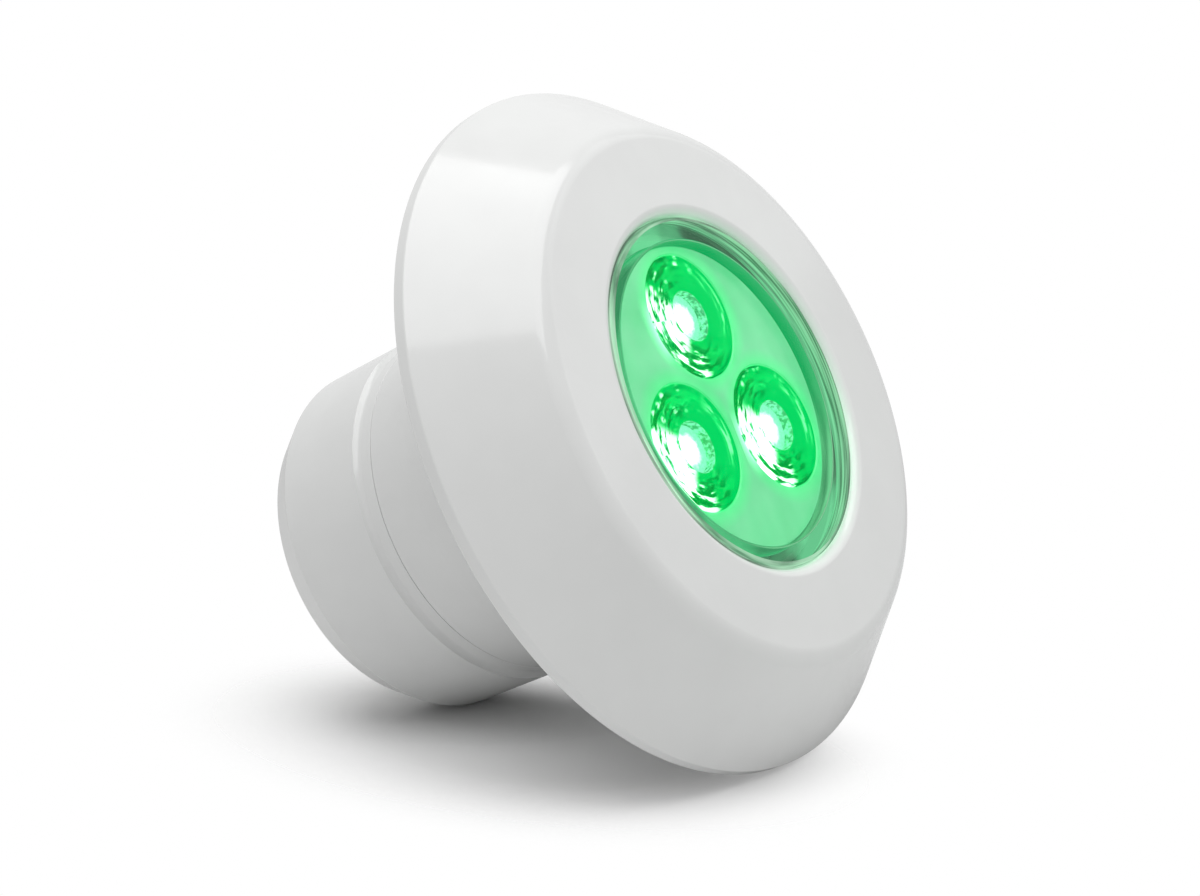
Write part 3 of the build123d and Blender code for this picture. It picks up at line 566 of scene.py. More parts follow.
def add(tree, kind, *values, **settings):
    """Add a shader node with its settings and links, and return it.

    Values fill its inputs in order, or by name or number where they stand in a dict. A node among
    them is linked by the first of its outputs that is in use.
    """
    node = tree.nodes.new("ShaderNode" + kind)
    for name, value in settings.items():
        setattr(node, name, value)
    for order, value in enumerate(values):
        for key, source in (value.items() if isinstance(value, dict) else [(order, value)]):
            if isinstance(source, bpy.types.Node):
                source = next(output for output in source.outputs if output.enabled)
            if isinstance(source, bpy.types.NodeSocket):
                tree.links.new(source, node.inputs[key])
            else:
                node.inputs[key].default_value = source
    return node


def per_size(millimetres):
    """Texture scale that gives features of a size in millimetres."""
    return 1 / (millimetres * MM)


def grain(tree, millimetres, detail=3.0):
    """Noise with features of a size, on the piece's own coordinates."""
    point = add(tree, "TexCoord").outputs["Object"]
    return add(tree, "TexNoise", {"Vector": point, "Scale": per_size(millimetres), "Detail": detail})


def shade(colour, factor):
    """A linear colour made darker or lighter by a factor."""
    return tuple(min(1.0, c * factor) for c in colour[:3]) + (1.0,)


def moulded_shader(tree, white, roughness, flow=9.0, texture=0.4, depth=0.0006, light=None):
    """Injection-moulded plastic: faint flow marks, soft gloss, a fine spark-eroded texture.

    The real texture is finer than a render shows, so it is drawn coarser, at some tenths of a millimetre.
    """
    marks = add(tree, "MapRange", grain(tree, flow, 2.0), *NOISE)
    tint = add(
        tree, "Mix", {FACTOR: marks, FIRST: shade(white, 0.985), SECOND: shade(white, 1.01)}, **COLOURS
    )
    gloss = add(tree, "MapRange", grain(tree, 2.5), *NOISE, roughness - 0.03, roughness + 0.04)
    pebbles = add(tree, "Bump", {"Height": grain(tree, texture), "Distance": depth * MM})
    swell = add(
        tree, "Bump", {"Height": grain(tree, 16.0, 0.0), "Distance": 0.008 * MM, "Normal": pebbles}
    )
    return add(
        tree,
        "BsdfPrincipled",
        {"Base Color": tint, "Roughness": gloss, "IOR": 1.53, "Normal": swell, **(light or {})},
    )


def moulded_plastic(name, white, roughness, **texture):
    """A finish of plain moulded plastic."""
    material, tree = new_tree(name)
    add(tree, "OutputMaterial", moulded_shader(tree, white, roughness, **texture))
    return material


def painted_lip_glow(name, white, roughness, glow, window, strength):
    """White ABS beside the window, with a painted green glow that spills over the lip and fades across
    the face.
    """
    material, tree = new_tree(name)
    cosine, away = axis_cosine(tree, 45.0)
    near = add(tree, "MapRange", away, window * 1.06, window * 0.99, **SOFT)
    far = add(tree, "MapRange", away, window * 1.5, window, **SOFT)
    # Painted glow, stronger on one side of the window.
    side = add(tree, "MapRange", cosine, -1.0, 1.0, 0.35)
    close_glow = add(tree, "Math", near, 0.9, **TIMES)
    spill = add(tree, "Math", close_glow, add(tree, "Math", far, 0.16, **TIMES))
    power = add(tree, "Math", add(tree, "Math", spill, side, **TIMES), strength, **TIMES)
    light = {"Emission Color": glow, "Emission Strength": power}
    add(tree, "OutputMaterial", moulded_shader(tree, white, roughness, light=light))
    return material


def moulded_rubber(name, tone):
    """Moulded EPDM or nitrile: dark and matt, with a pale bloom in patches and a fine grain.

    The grain is drawn 0.3 mm wide, coarser than the real one, so that it shows.
    """
    material, tree = new_tree(name)
    bloom = add(tree, "MapRange", grain(tree, 3.5, 5.0), 0.45, 0.7)
    shader = add(
        tree,
        "BsdfPrincipled",
        {
            "Base Color": add(
                tree, "Mix", {FACTOR: bloom, FIRST: tone, SECOND: shade(tone, 1.5)}, **COLOURS
            ),
            "Roughness": add(tree, "MapRange", grain(tree, 1.2), *NOISE, 0.62, 0.82),
            "IOR": 1.52,
            "Normal": add(tree, "Bump", {"Height": grain(tree, 0.3), "Distance": 0.02 * MM}),
        },
    )
    add(tree, "OutputMaterial", shader)
    return material


def clear_shader(tree, tint, ior, pebble=0.0):
    """Bending and total reflection of a clear moulding; plain reflections stay faint, as under water."""
    bumps = {}
    if pebble:
        bumps["Normal"] = add(tree, "Bump", {"Height": grain(tree, 1.1, 2.0), "Distance": pebble * MM})
    bend = add(tree, "BsdfRefraction", {"Color": tint, "Roughness": 0.0, "IOR": ior, **bumps})
    shine = add(tree, "BsdfAnisotropic", {"Color": tint, "Roughness": 0.0, **bumps})
    faint = add(tree, "Math", add(tree, "Fresnel", {"IOR": ior}), 2.4, operation="POWER")
    return add(tree, "MixShader", faint, bend, shine)


def let_light_through(tree, shader, tint):
    """Shadow rays pass straight through, so that lamps reach what lies behind the clear piece."""
    shadow = add(tree, "LightPath").outputs["Is Shadow Ray"]
    both = add(tree, "MixShader", shadow, shader, add(tree, "BsdfTransparent", tint))
    add(tree, "OutputMaterial", both)


def clear_plastic(name, tint, ior):
    """Polished clear moulding."""
    material, tree = new_tree(name)
    let_light_through(tree, clear_shader(tree, tint, ior), tint)
    return material


def led_offset(tree):
    """Offset from the nearest LED's axis, and its length in millimetres."""
    point = add(tree, "TexCoord").outputs["Object"]
    nearest = shortest = None
    for led in LED_NUMBERS:
        x, z = middle(f"led_{led}")
        offset = add(tree, "VectorMath", point, (x, 0, z), operation="SUBTRACT")
        flat = add(tree, "VectorMath", offset, (1 / MM, 0, 1 / MM), operation="MULTIPLY")
        away = add(tree, "VectorMath", flat, operation="LENGTH")
        if nearest:
            nearer = add(tree, "Math", away, shortest, operation="LESS_THAN")
            nearest = add(tree, "Mix", {0: nearer, 4: nearest, 5: flat}, data_type="VECTOR")
            shortest = add(tree, "Math", shortest, away, operation="MINIMUM")
        else:
            nearest, shortest = flat, away
    return nearest, shortest


def towards(tree, offset, away, degrees):
    """Cosine of the angle between an offset and a direction in the plane of the face."""
    direction = (cos(radians(degrees)), 0, sin(radians(degrees)))
    along = add(tree, "VectorMath", offset, direction, operation="DOT_PRODUCT")
    return add(tree, "Math", along, away, operation="DIVIDE")


def axis_cosine(tree, degrees):
    """Cosine of the angle between a place and a direction, and the place's radius."""
    point = add(tree, "TexCoord").outputs["Object"]
    flat = add(tree, "VectorMath", point, (1, 0, 1), operation="MULTIPLY")
    away = add(tree, "VectorMath", flat, operation="LENGTH")
    return towards(tree, flat, away, degrees), away


def painted_side_wall_plastic(name, tint, ior, pale, deep, grey, depths, power):
    """Side wall of the clear lens with painted light: green glow painted in streaks round the wall,
    deeper green inside, broken by painted grey streaks that stand in for its reflections.
    """
    material, tree = new_tree(name)
    point = add(tree, "TexCoord").outputs["Object"]
    rings = add(tree, "Mapping", {"Vector": point, "Scale": (0.05, 1, 0.05)})
    lines = add(tree, "TexNoise", {"Vector": rings, "Scale": per_size(0.8), "Detail": 4.0})
    streaks = add(tree, "MapRange", lines, 0.38, 0.62, 0.45 * power, 1.35 * power)
    depth = add(tree, "SeparateXYZ", point).outputs["Y"]
    inside = add(tree, "MapRange", depth, -depths[0], -depths[1])
    # Painted reflection: grey streaks in the painted glow.
    wear_and_painted_streaks = add(tree, "MapRange", lines, 0.4, 0.5, 0.5, 0.0)
    painted_wall_colour = add(tree, "Mix", {FACTOR: inside, FIRST: pale, SECOND: deep}, **COLOURS)
    here = add(tree, "Mix", {FACTOR: wear_and_painted_streaks, FIRST: painted_wall_colour, SECOND: grey}, **COLOURS)
    light = add(tree, "Emission", here, streaks)
    let_light_through(tree, add(tree, "MixShader", 0.32, light, clear_shader(tree, tint, ior)), tint)
    return material


def painted_lens_band(name, tint, ior, deep, pale, depths):
    """Lens's inner wall as painted light and shade: deep green painted on its shaded side, pale green
    painted where it faces the light.
    """
    material, tree = new_tree(name)
    cosine, _ = axis_cosine(tree, 42.0)
    painted_shade = add(tree, "MapRange", cosine, 0.2, 0.9, **SOFT)
    depth = add(tree, "SeparateXYZ", add(tree, "TexCoord").outputs["Object"]).outputs["Y"]
    deeper = add(tree, "MapRange", depth, -depths[0], -depths[1], **SOFT)
    mottle = add(tree, "MapRange", grain(tree, 5.0, 2.0), *NOISE, 0.7, 1.0)
    inside = add(tree, "Math", add(tree, "Math", painted_shade, deeper, **TIMES), mottle, **TIMES)
    light = add(
        tree, "Emission", add(tree, "Mix", {FACTOR: inside, FIRST: pale, SECOND: deep}, **COLOURS)
    )
    cover = add(tree, "MapRange", painted_shade, *UNIT, 0.6, 0.04)
    let_light_through(tree, add(tree, "MixShader", cover, light, clear_shader(tree, tint, ior)), tint)
    return material


def painted_well_floor(name, tint, ior, ring, hot_radius, ring_radius):
    """Pebbled bottom of the collimator's well with painted light: the LED's white-hot spot painted as
    glow in a mottled pale ring.
    """
    material, tree = new_tree(name)
    _, away = led_offset(tree)
    ripple = add(tree, "MapRange", grain(tree, 0.9), *NOISE, -0.35, 0.35)
    core = add(
        tree, "MapRange", add(tree, "Math", away, ripple), hot_radius * 0.7, hot_radius * 1.15, **SOFT
    )
    point = add(tree, "TexCoord").outputs["Object"]
    pebbles = add(tree, "TexVoronoi", {"Vector": point, "Scale": per_size(0.4)})
    mottle = add(tree, "MapRange", pebbles, 0.1, 0.75, 1.45, 1.15)
    power = add(tree, "MapRange", core, *UNIT, 2.0, mottle)
    here = add(tree, "Mix", {FACTOR: core, FIRST: linear("FFFFFF"), SECOND: ring}, **COLOURS)
    light = add(tree, "Emission", here, power)
    edge = add(tree, "MapRange", away, ring_radius * 0.85, ring_radius, **SOFT)
    cover = add(tree, "MapRange", edge, *UNIT, 0.05, 0.15)
    body = add(tree, "MixShader", cover, light, clear_shader(tree, tint, ior, 0.03))
    let_light_through(tree, body, tint)
    return material


def painted_wall_glow(name, tint, ior, glow, power):
    """Wall of the well or cavity with painted light: an uneven painted glow, with the LED showing
    through.
    """
    material, tree = new_tree(name)
    uneven = add(tree, "MapRange", grain(tree, 0.7), 0.4, 0.62, 0.3 * power, 1.3 * power)
    light = add(tree, "Emission", glow, uneven)
    let_light_through(tree, add(tree, "MixShader", 0.55, light, clear_shader(tree, tint, ior)), tint)
    return material


def painted_glint_front(name, tint, ior, green, pale):
    """Front of the collimator: clear over a painted even green glow, with a painted streaky crescent of
    glare, painted glint dots and streaks, and painted shade in dark flecks.
    """
    material, tree = new_tree(name)
    offset, away = led_offset(tree)
    point = add(tree, "TexCoord").outputs["Object"]

    def facing(degrees, low, high):
        """How far a place lies towards one side of its collimator."""
        return add(tree, "MapRange", towards(tree, offset, away, degrees), low, high, **SOFT)

    # Noise that is drawn out round the LED's axis, so its streaks run as arcs.
    parts = add(tree, "SeparateXYZ", offset).outputs
    angle = add(tree, "Math", parts["Z"], parts["X"], operation="ARCTAN2")
    bent = add(
        tree,
        "CombineXYZ",
        add(tree, "Math", away, 1.4, **TIMES),
        add(tree, "Math", angle, 2.6, **TIMES),
    )
    # A slow drift over the face gives each collimator streaks of its own.
    drift = add(tree, "VectorMath", point, (40, 40, 40), operation="MULTIPLY")
    warped = add(tree, "VectorMath", bent, drift)
    arcs = add(tree, "TexNoise", {"Vector": warped, "Scale": 0.9, "Detail": 4.0})

    ragged = add(tree, "Math", away, add(tree, "MapRange", arcs, *NOISE, -1.6, 1.6))
    closer = add(tree, "MapRange", away, 4.2, 8.0, 0.2, -0.04)
    broken = add(tree, "MapRange", add(tree, "Math", arcs, closer), 0.39, 0.5, **SOFT)
    cells = add(tree, "TexVoronoi", {"Vector": point, "Scale": per_size(2.0)})
    shares = []
    for share, *others in (
        # painted crescent of glare
        (add(tree, "MapRange", ragged, 3.6, 4.6, **SOFT), facing(192, 0.6, 0.86), broken),
        # its painted tail
        (
            add(tree, "MapRange", ragged, 6.0, 7.4, **SOFT),
            facing(236, 0.78, 0.93),
            add(tree, "MapRange", arcs, 0.5, 0.56, **SOFT),
        ),
        # painted glint dots
        (
            add(tree, "MapRange", cells, 0.42, 0.15, **SOFT),
            facing(112, 0.3, 0.85),
            add(tree, "MapRange", away, 5.0, 6.2, **SOFT),
            add(tree, "MapRange", arcs, 0.44, 0.56, **SOFT),
        ),
        # painted glint streaks beside the edge
        (
            add(tree, "MapRange", away, 7.0, 7.8, **SOFT),
            add(tree, "MapRange", away, 9.4, 8.8, **SOFT),
            facing(10, 0.7, 0.95),
            add(tree, "MapRange", arcs, 0.46, 0.6, **SOFT),
            0.6,
        ),
        # painted shade: dark flecks opposite the crescent
        (
            facing(15, 0.75, -0.1),
            add(tree, "MapRange", arcs, 0.52, 0.42, **SOFT),
            add(tree, "MapRange", away, 4.2, 5.4, **SOFT),
        ),
    ):
        for other in others:
            share = add(tree, "Math", share, other, **TIMES)
        shares.append(share)
    glare, tail, dots, streaks, dark = shares
    bright = add(tree, "Math", add(tree, "Math", glare, tail), 1.5, **TIMES)
    power = add(tree, "Math", bright, add(tree, "Math", dots, streaks))
    hot = add(tree, "MapRange", power, 0.2, 1.1, **SOFT)
    here = add(tree, "Mix", {FACTOR: hot, FIRST: pale, SECOND: linear("FFFFFF")}, **COLOURS)
    light = add(tree, "Emission", here, power)

    even = add(tree, "Emission", green, add(tree, "MapRange", dark, *UNIT, 1.0, 0.35))
    cover = add(tree, "MapRange", facing(15, -0.3, 0.7), *UNIT, 0.6, 0.88)
    body = add(tree, "MixShader", cover, clear_shader(tree, tint, ior), even)
    let_light_through(tree, add(tree, "AddShader", body, light), tint)
    return material


def painted_glint_flank(name, tint, ior, green, pale):
    """Facetted flank of the collimator: clear, filled with a painted green glow that breaks into painted
    pale glints.
    """
    material, tree = new_tree(name)
    fine = add(tree, "MapRange", grain(tree, 0.8, 4.0), 0.52, 0.66)
    wide = add(tree, "MapRange", grain(tree, 2.4, 2.0), 0.45, 0.6)
    # Painted glints where the painted glow turns pale.
    flecks = add(tree, "Math", fine, wide, **TIMES)
    here = add(tree, "Mix", {FACTOR: flecks, FIRST: green, SECOND: pale}, **COLOURS)
    light = add(tree, "Emission", here, add(tree, "MapRange", flecks, *UNIT, 0.1, 0.8))
    let_light_through(tree, add(tree, "AddShader", clear_shader(tree, tint, ior, 0.02), light), tint)
    return material


def painted_glow_plastic(name, base, near, far, reaches, strength, roughness=0.35, pale=None, spill=None):
    """White plastic with a painted green glow for an LED's light: strongest beside the LED, paler away
    from it.

    The painted glow changes from near to far between two reaches in millimetres. Spill is the strength
    and colour of a painted bloom that leaves each LED's opening on one side.
    """
    material, tree = new_tree(name)
    offset, away = led_offset(tree)
    patches = add(tree, "MapRange", grain(tree, 11.0, 2.0), *NOISE)
    distant = add(tree, "Mix", {FACTOR: patches, FIRST: far, SECOND: pale or far}, **COLOURS)
    fading = add(tree, "MapRange", away, *reaches)
    glow = add(tree, "Mix", {FACTOR: fading, FIRST: near, SECOND: distant}, **COLOURS)
    cloud = add(tree, "MapRange", grain(tree, 6.0), *NOISE, 0.92, 1.06)
    power = add(tree, "Math", cloud, strength, **TIMES)
    if spill:
        beside = add(tree, "MapRange", away, *reversed(reaches), **SOFT)
        aside = add(tree, "MapRange", towards(tree, offset, away, 188.0), 0.85, 1.0, **SOFT)
        halo = add(tree, "Math", beside, aside, **TIMES)
        power = add(tree, "Math", power, add(tree, "Math", halo, spill[0], **TIMES))
        glow = add(tree, "Mix", {FACTOR: halo, FIRST: glow, SECOND: spill[1]}, **COLOURS)
    shader = add(
        tree,
        "BsdfPrincipled",
        {
            "Base Color": base,
            "Roughness": roughness,
            "IOR": 1.5,
            "Normal": add(tree, "Bump", {"Height": grain(tree, 0.5), "Distance": 0.004 * MM}),
            "Emission Color": glow,
            "Emission Strength": power,
        },
    )
    add(tree, "OutputMaterial", shader)
    return material


def led_dome(name, light, strength):
    """Silicone dome of a lit LED: white-hot over the die, a little less at its foot."""
    material, tree = new_tree(name)
    foot = add(tree, "MapRange", led_offset(tree)[1], 0.8, 1.5, **SOFT)
    power = add(tree, "MapRange", foot, *UNIT, strength, 0.7 * strength)
    add(tree, "OutputMaterial", add(tree, "Emission", light, power))
    return material


def turned_metal(name, tone, roughness):
    """Machined metal: fine tool marks and a smeared reflection.

    The marks are drawn 0.35 mm wide, wider than a real tool leaves them, so that they show.
    """
    material, tree = new_tree(name)
    marks = grain(tree, 0.35, 4.0)
    wear_and_painted_streaks = add(tree, "MapRange", marks, *NOISE)
    colours = add(
        tree, "Mix", {FACTOR: wear_and_painted_streaks, FIRST: shade(tone, 0.9), SECOND: shade(tone, 1.05)}, **COLOURS
    )
    shader = add(
        tree,
        "BsdfPrincipled",
        {
            "Base Color": colours,
            "Metallic": 1.0,
            "Roughness": add(
                tree, "MapRange", grain(tree, 0.8), *NOISE, roughness - 0.06, roughness + 0.08
            ),
            "Normal": add(tree, "Bump", {"Height": marks, "Distance": 0.004 * MM}),
        },
    )
    add(tree, "OutputMaterial", shader)
    return material


def solder_mask(name, tone, trace):
    """Lacquered circuit board: smooth mask over copper tracks that show as slightly raised lines."""
    material, tree = new_tree(name)
    point = add(tree, "TexCoord").outputs["Object"]
    tracks = add(
        tree,
        "TexBrick",
        {
            "Vector": add(tree, "Mapping", {"Vector": point, "Rotation": (pi / 2, 0, 0)}),
            "Color1": tone,
            "Color2": shade(tone, 1.12),
            "Mortar": trace,
            "Scale": per_size(10.0),
            "Mortar Size": 0.02,
            "Mortar Smooth": 0.2,
        },
    )
    shader = add(
        tree,
        "BsdfPrincipled",
        {
            "Base Color": tracks,
            "Roughness": add(tree, "MapRange", grain(tree, 2.0), *NOISE, 0.3, 0.45),
            "IOR": 1.5,
            "Normal": add(tree, "Bump", {"Height": tracks.outputs["Fac"], "Distance": 0.03 * MM}),
        },
    )
    add(tree, "OutputMaterial", shader)
    return material


def speckled(name, tone, fleck, size, roughness, depth):
    """Pressed or cast body such as ferrite or epoxy: flecks of a second tone, a dull gloss.

    The real grains are finer than a render shows, so their size is given coarser.
    """
    material, tree = new_tree(name)
    flecks = add(tree, "MapRange", grain(tree, size, 6.0), 0.5, 0.68)
    shader = add(
        tree,
        "BsdfPrincipled",
        {
            "Base Color": add(tree, "Mix", {FACTOR: flecks, FIRST: tone, SECOND: fleck}, **COLOURS),
            "Roughness": add(
                tree, "MapRange", grain(tree, size * 3), *NOISE, roughness - 0.08, roughness + 0.08
            ),
            "IOR": 1.5,
            "Normal": add(tree, "Bump", {"Height": grain(tree, size), "Distance": depth * MM}),
        },
    )
    add(tree, "OutputMaterial", shader)
    return material


def dress(material, *nodes):
    """Give engineering-model pieces a finish."""
    for node in nodes:
        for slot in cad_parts[node].material_slots:
            slot.material = material


def shared(name, make, *values, **settings):
    """A material that several pieces use, made once."""
    return bpy.data.materials.get(name) or make(name, *values, **settings)


def white_abs():
    """Finish of the faceplate, the housing and the rear cap."""
    finish = bpy.context.scene.pool_light_finishes
    return shared("Moulded white ABS", moulded_plastic, finish.abs_white, GLOSSY_ABS)


def white_nylon():
    """Finish of the cable gland."""
    finish = bpy.context.scene.pool_light_finishes
    return shared("Moulded white nylon", moulded_plastic, finish.nylon_white, 0.42, flow=6.0, depth=0.002)


def grey_rubber():
    """Finish of the wall gasket and the cable sleeve."""
    finish = bpy.context.scene.pool_light_finishes
    return shared("Grey EPDM rubber", moulded_rubber, finish.rubber_grey)


# ---------------------------------------------------------------- the pieces

class POOLLIGHT_OT_faceplate(bpy.types.Operator):
    """Mould the conical faceplate with its window lip and bayonet hooks"""

    bl_idname = "poollight.faceplate"
    bl_label = "Faceplate"
    bl_options = {"REGISTER", "UNDO"}

    def execute(self, context):
        size = context.scene.pool_light_faceplate
        lugs = context.scene.pool_light_bayonet
        rim = reach("faceplate")
        face = front("faceplate")
        run = rim - size.flat_radius
        rise = face - size.rim_height
        cone_wall = size.wall * hypot(run, rise) / rise
        inside = rim - cone_wall
        ring_outer = size.ring_inner + size.ring_wall
        skirt_outer = size.window_radius + size.skirt_wall
        face_back = face - size.wall
        ring_top = size.rim_height + (inside - ring_outer) * rise / run
        plate = turned(
            "faceplate_shell",
            [
                (rim - size.rim_break, 0.0, size.rim_break / 3),
                (rim, size.rim_break, size.rim_break / 2),
                (rim, size.rim_height, size.rim_round),
                (size.flat_radius, face, size.edge_round),
                (size.window_radius, face, size.window_round),
                (size.window_radius, size.skirt_end),
                (skirt_outer, size.skirt_end),
                (skirt_outer, face_back, size.rim_round),
                (size.ring_inner, face_back, size.rim_round),
                (size.ring_inner, size.hook_height),
                (ring_outer, size.hook_height),
                (ring_outer, min(ring_top, face_back)),
                (inside, size.rim_height),
                (inside, 0.0, size.rim_break / 2),
            ],
            size.sides,
        )
        hooks = []
        for i in range(lugs.quantity):
            inner = size.ring_inner - size.hook_reach
            outer = size.ring_inner + size.ring_wall / 2
            top = size.hook_height + size.hook_thickness
            hook = turned(
                "bayonet_hook",
                [
                    (inner, size.hook_height, size.rim_break / 2),
                    (inner, top, size.rim_break / 2),
                    (outer, top),
                    (outer, size.hook_height),
                ],
                size.sides,
            )
            hooks.append(sector(hook, lugs.first_angle + i * 2 * pi / lugs.quantity, lugs.arc))
        finish = context.scene.pool_light_finishes
        plate = joined([plate, *hooks])
        plate.data.materials.append(white_abs())
        # Painted green glow on the white ABS round the window.
        lip = painted_lip_glow(
            "White ABS with painted green glow",
            finish.abs_white,
            GLOSSY_ABS,
            finish.painted_wall_and_lip_green,
            size.window_radius,
            finish.painted_lip_power,
        )
        inner = size.flat_radius - size.edge_round / 2
        paint(plate, lip, lambda spot: hypot(spot.x, spot.z) < inner and spot.y < -size.skirt_end)
        finished(plate, None, "faceplate", ["faceplate"])
        return {"FINISHED"}


class POOLLIGHT_OT_housing(bpy.types.Operator):
    """Mould the housing: wall flange, lens seat with its lugs, barrel and spigot"""

    bl_idname = "poollight.housing"
    bl_label = "Housing"
    bl_options = {"REGISTER", "UNDO"}

    def execute(self, context):
        size = context.scene.pool_light_housing
        lugs = context.scene.pool_light_bayonet
        flange = reach("housing")
        seat = reach("lens") + TURN_GAP
        boss = seat + size.seat_wall
        top = front("housing")
        end = back("housing")
        bore = size.barrel_radius - size.barrel_wall
        spigot_bore = size.spigot_radius - size.spigot_wall
        taper_end = -(size.neck_length + size.taper_length)
        bore_end = taper_end + 1.5 * size.barrel_wall
        gasket_outer = reach("wall_gasket") + SEAT_GAP
        gasket_inner = size.barrel_radius + size.gasket_offset - SEAT_GAP
        edge = 0.3 * MM
        shell = turned(
            "housing_shell",
            [
                (seat, size.seal_land),
                (seat, top, edge),
                (boss, top, edge),
                (boss, size.flange_height, edge),
                (flange - size.flange_bevel, size.flange_height, edge),
                (flange, size.flange_edge, edge),
                (flange, 0.0, edge),
                (gasket_outer, 0.0),
                (gasket_outer, size.gasket_depth),
                (gasket_inner, size.gasket_depth),
                (gasket_inner, 0.0),
                (size.barrel_radius, 0.0),
                (size.barrel_radius - size.draft, -size.neck_length, size.neck_round),
                (size.barrel_radius - size.taper_depth, taper_end, edge / 3),
                (size.spigot_radius, taper_end),
                (size.spigot_radius, end, edge),
                (spigot_bore, end, edge),
                (spigot_bore, bore_end - (bore - spigot_bore)),
                (bore, bore_end),
                (bore, size.seal_land),
            ],
            size.sides,
        )
        holes = pins(
            "screw_holes",
            around(size.screw_count, size.screw_circle, pi / size.screw_count),
            size.screw_hole,
            -MM,
            size.flange_height + MM,
            size.sides // 4,
        )
        combine(shell, holes, "DIFFERENCE")
        pieces = [shell]
        for i in range(lugs.quantity):
            middle_angle = lugs.first_angle + i * 2 * pi / lugs.quantity
            lug = turned(
                "bayonet_lug",
                [
                    (boss - edge, top - lugs.lug_thickness),
                    (boss + lugs.lug_reach, top - lugs.lug_thickness, edge),
                    (boss + lugs.lug_reach, top, edge),
                    (boss - edge, top - edge / 2),
                ],
                size.sides,
            )
            pieces.append(sector(lug, middle_angle, lugs.arc))
            stop = middle_angle - lugs.stop_angle
            place = ((boss + edge) * cos(stop), (boss + edge) * sin(stop))
            pin = turned(
                "turn_stop",
                [(lugs.stop_radius, top - edge / 2, edge), (lugs.stop_radius, size.flange_height - edge)],
                size.sides // 8,
                place,
                closed=False,
            )
            pieces.append(pin)
        finished(joined(pieces), white_abs(), "housing", ["housing"])
        return {"FINISHED"}


class POOLLIGHT_OT_gasket(bpy.types.Operator):
    """Mould the wall gasket with two sealing grooves in its rear face"""

    bl_idname = "poollight.gasket"
    bl_label = "Wall gasket"
    bl_options = {"REGISTER", "UNDO"}

    def execute(self, context):
        size = context.scene.pool_light_housing
        outer = reach("wall_gasket")
        inner = size.barrel_radius + size.gasket_offset
        thickness = front("wall_gasket")
        soft = 0.35 * MM
        groove = 0.45 * MM
        width = (outer - inner) / 5
        corners = [(inner, thickness, soft), (outer, thickness, soft), (outer, 0.0, soft)]
        for start in (outer - width, outer - 3 * width):
            corners += [
                (start, 0.0, soft / 2),
                (start - groove, groove, soft / 2),
                (start - width + groove, groove, soft / 2),
                (start - width, 0.0, soft / 2),
            ]
        corners.append((inner, 0.0, soft))
        ring = turned("gasket_ring", corners, size.sides)
        finished(ring, grey_rubber(), "housing", ["wall_gasket"])
        return {"FINISHED"}


class POOLLIGHT_OT_lens(bpy.types.Operator):
    """Mould the clear window lens: a flat cup with a clamped foot"""

    bl_idname = "poollight.lens"
    bl_label = "Window lens"
    bl_options = {"REGISTER", "UNDO"}

    def execute(self, context):
        size = context.scene.pool_light_optics
        radius = context.scene.pool_light_faceplate.window_radius - TURN_GAP / 2
        bore = radius - size.lens_wall
        foot = reach("lens")
        top = front("lens")
        bottom = back("lens")
        edge = 0.25 * MM
        cup = turned(
            "window_lens",
            [
                (radius, top, size.lens_round),
                (radius, size.foot_top, edge),
                (foot, size.foot_top, edge),
                (foot, bottom, edge),
                (bore, bottom, edge),
                (bore, top - size.lens_thickness, size.lens_round / 2),
            ],
            size.sides,
            closed=False,
        )
        finish = context.scene.pool_light_finishes
        tint = finish.lens_tint
        cup.data.materials.append(clear_plastic("Clear polycarbonate", tint, POLYCARBONATE))
        # Painted light: glow and grey streaks on the lens's side wall, painted shade and glow on its
        # inner wall.
        painted_side_wall = painted_side_wall_plastic(
            "Polycarbonate with painted glow",
            tint,
            POLYCARBONATE,
            finish.painted_wall_and_lip_green,
            finish.painted_wall_foot_green,
            finish.painted_grey_streaks,
            (top, size.foot_top),
            finish.painted_edge_power,
        )
        dark_band = painted_lens_band(
            "Painted green band inside the lens",
            tint,
            POLYCARBONATE,
            finish.painted_inner_green,
            finish.painted_inner_pale,
            (top - size.lens_thickness, front("optic_plate")),
        )
        paint(cup, painted_side_wall, lambda spot: hypot(spot.x, spot.z) > bore - edge)
        paint(cup, dark_band, lambda spot: abs(hypot(spot.x, spot.z) - bore) < edge)
        finished(cup, None, "housing", ["lens"])
        return {"FINISHED"}


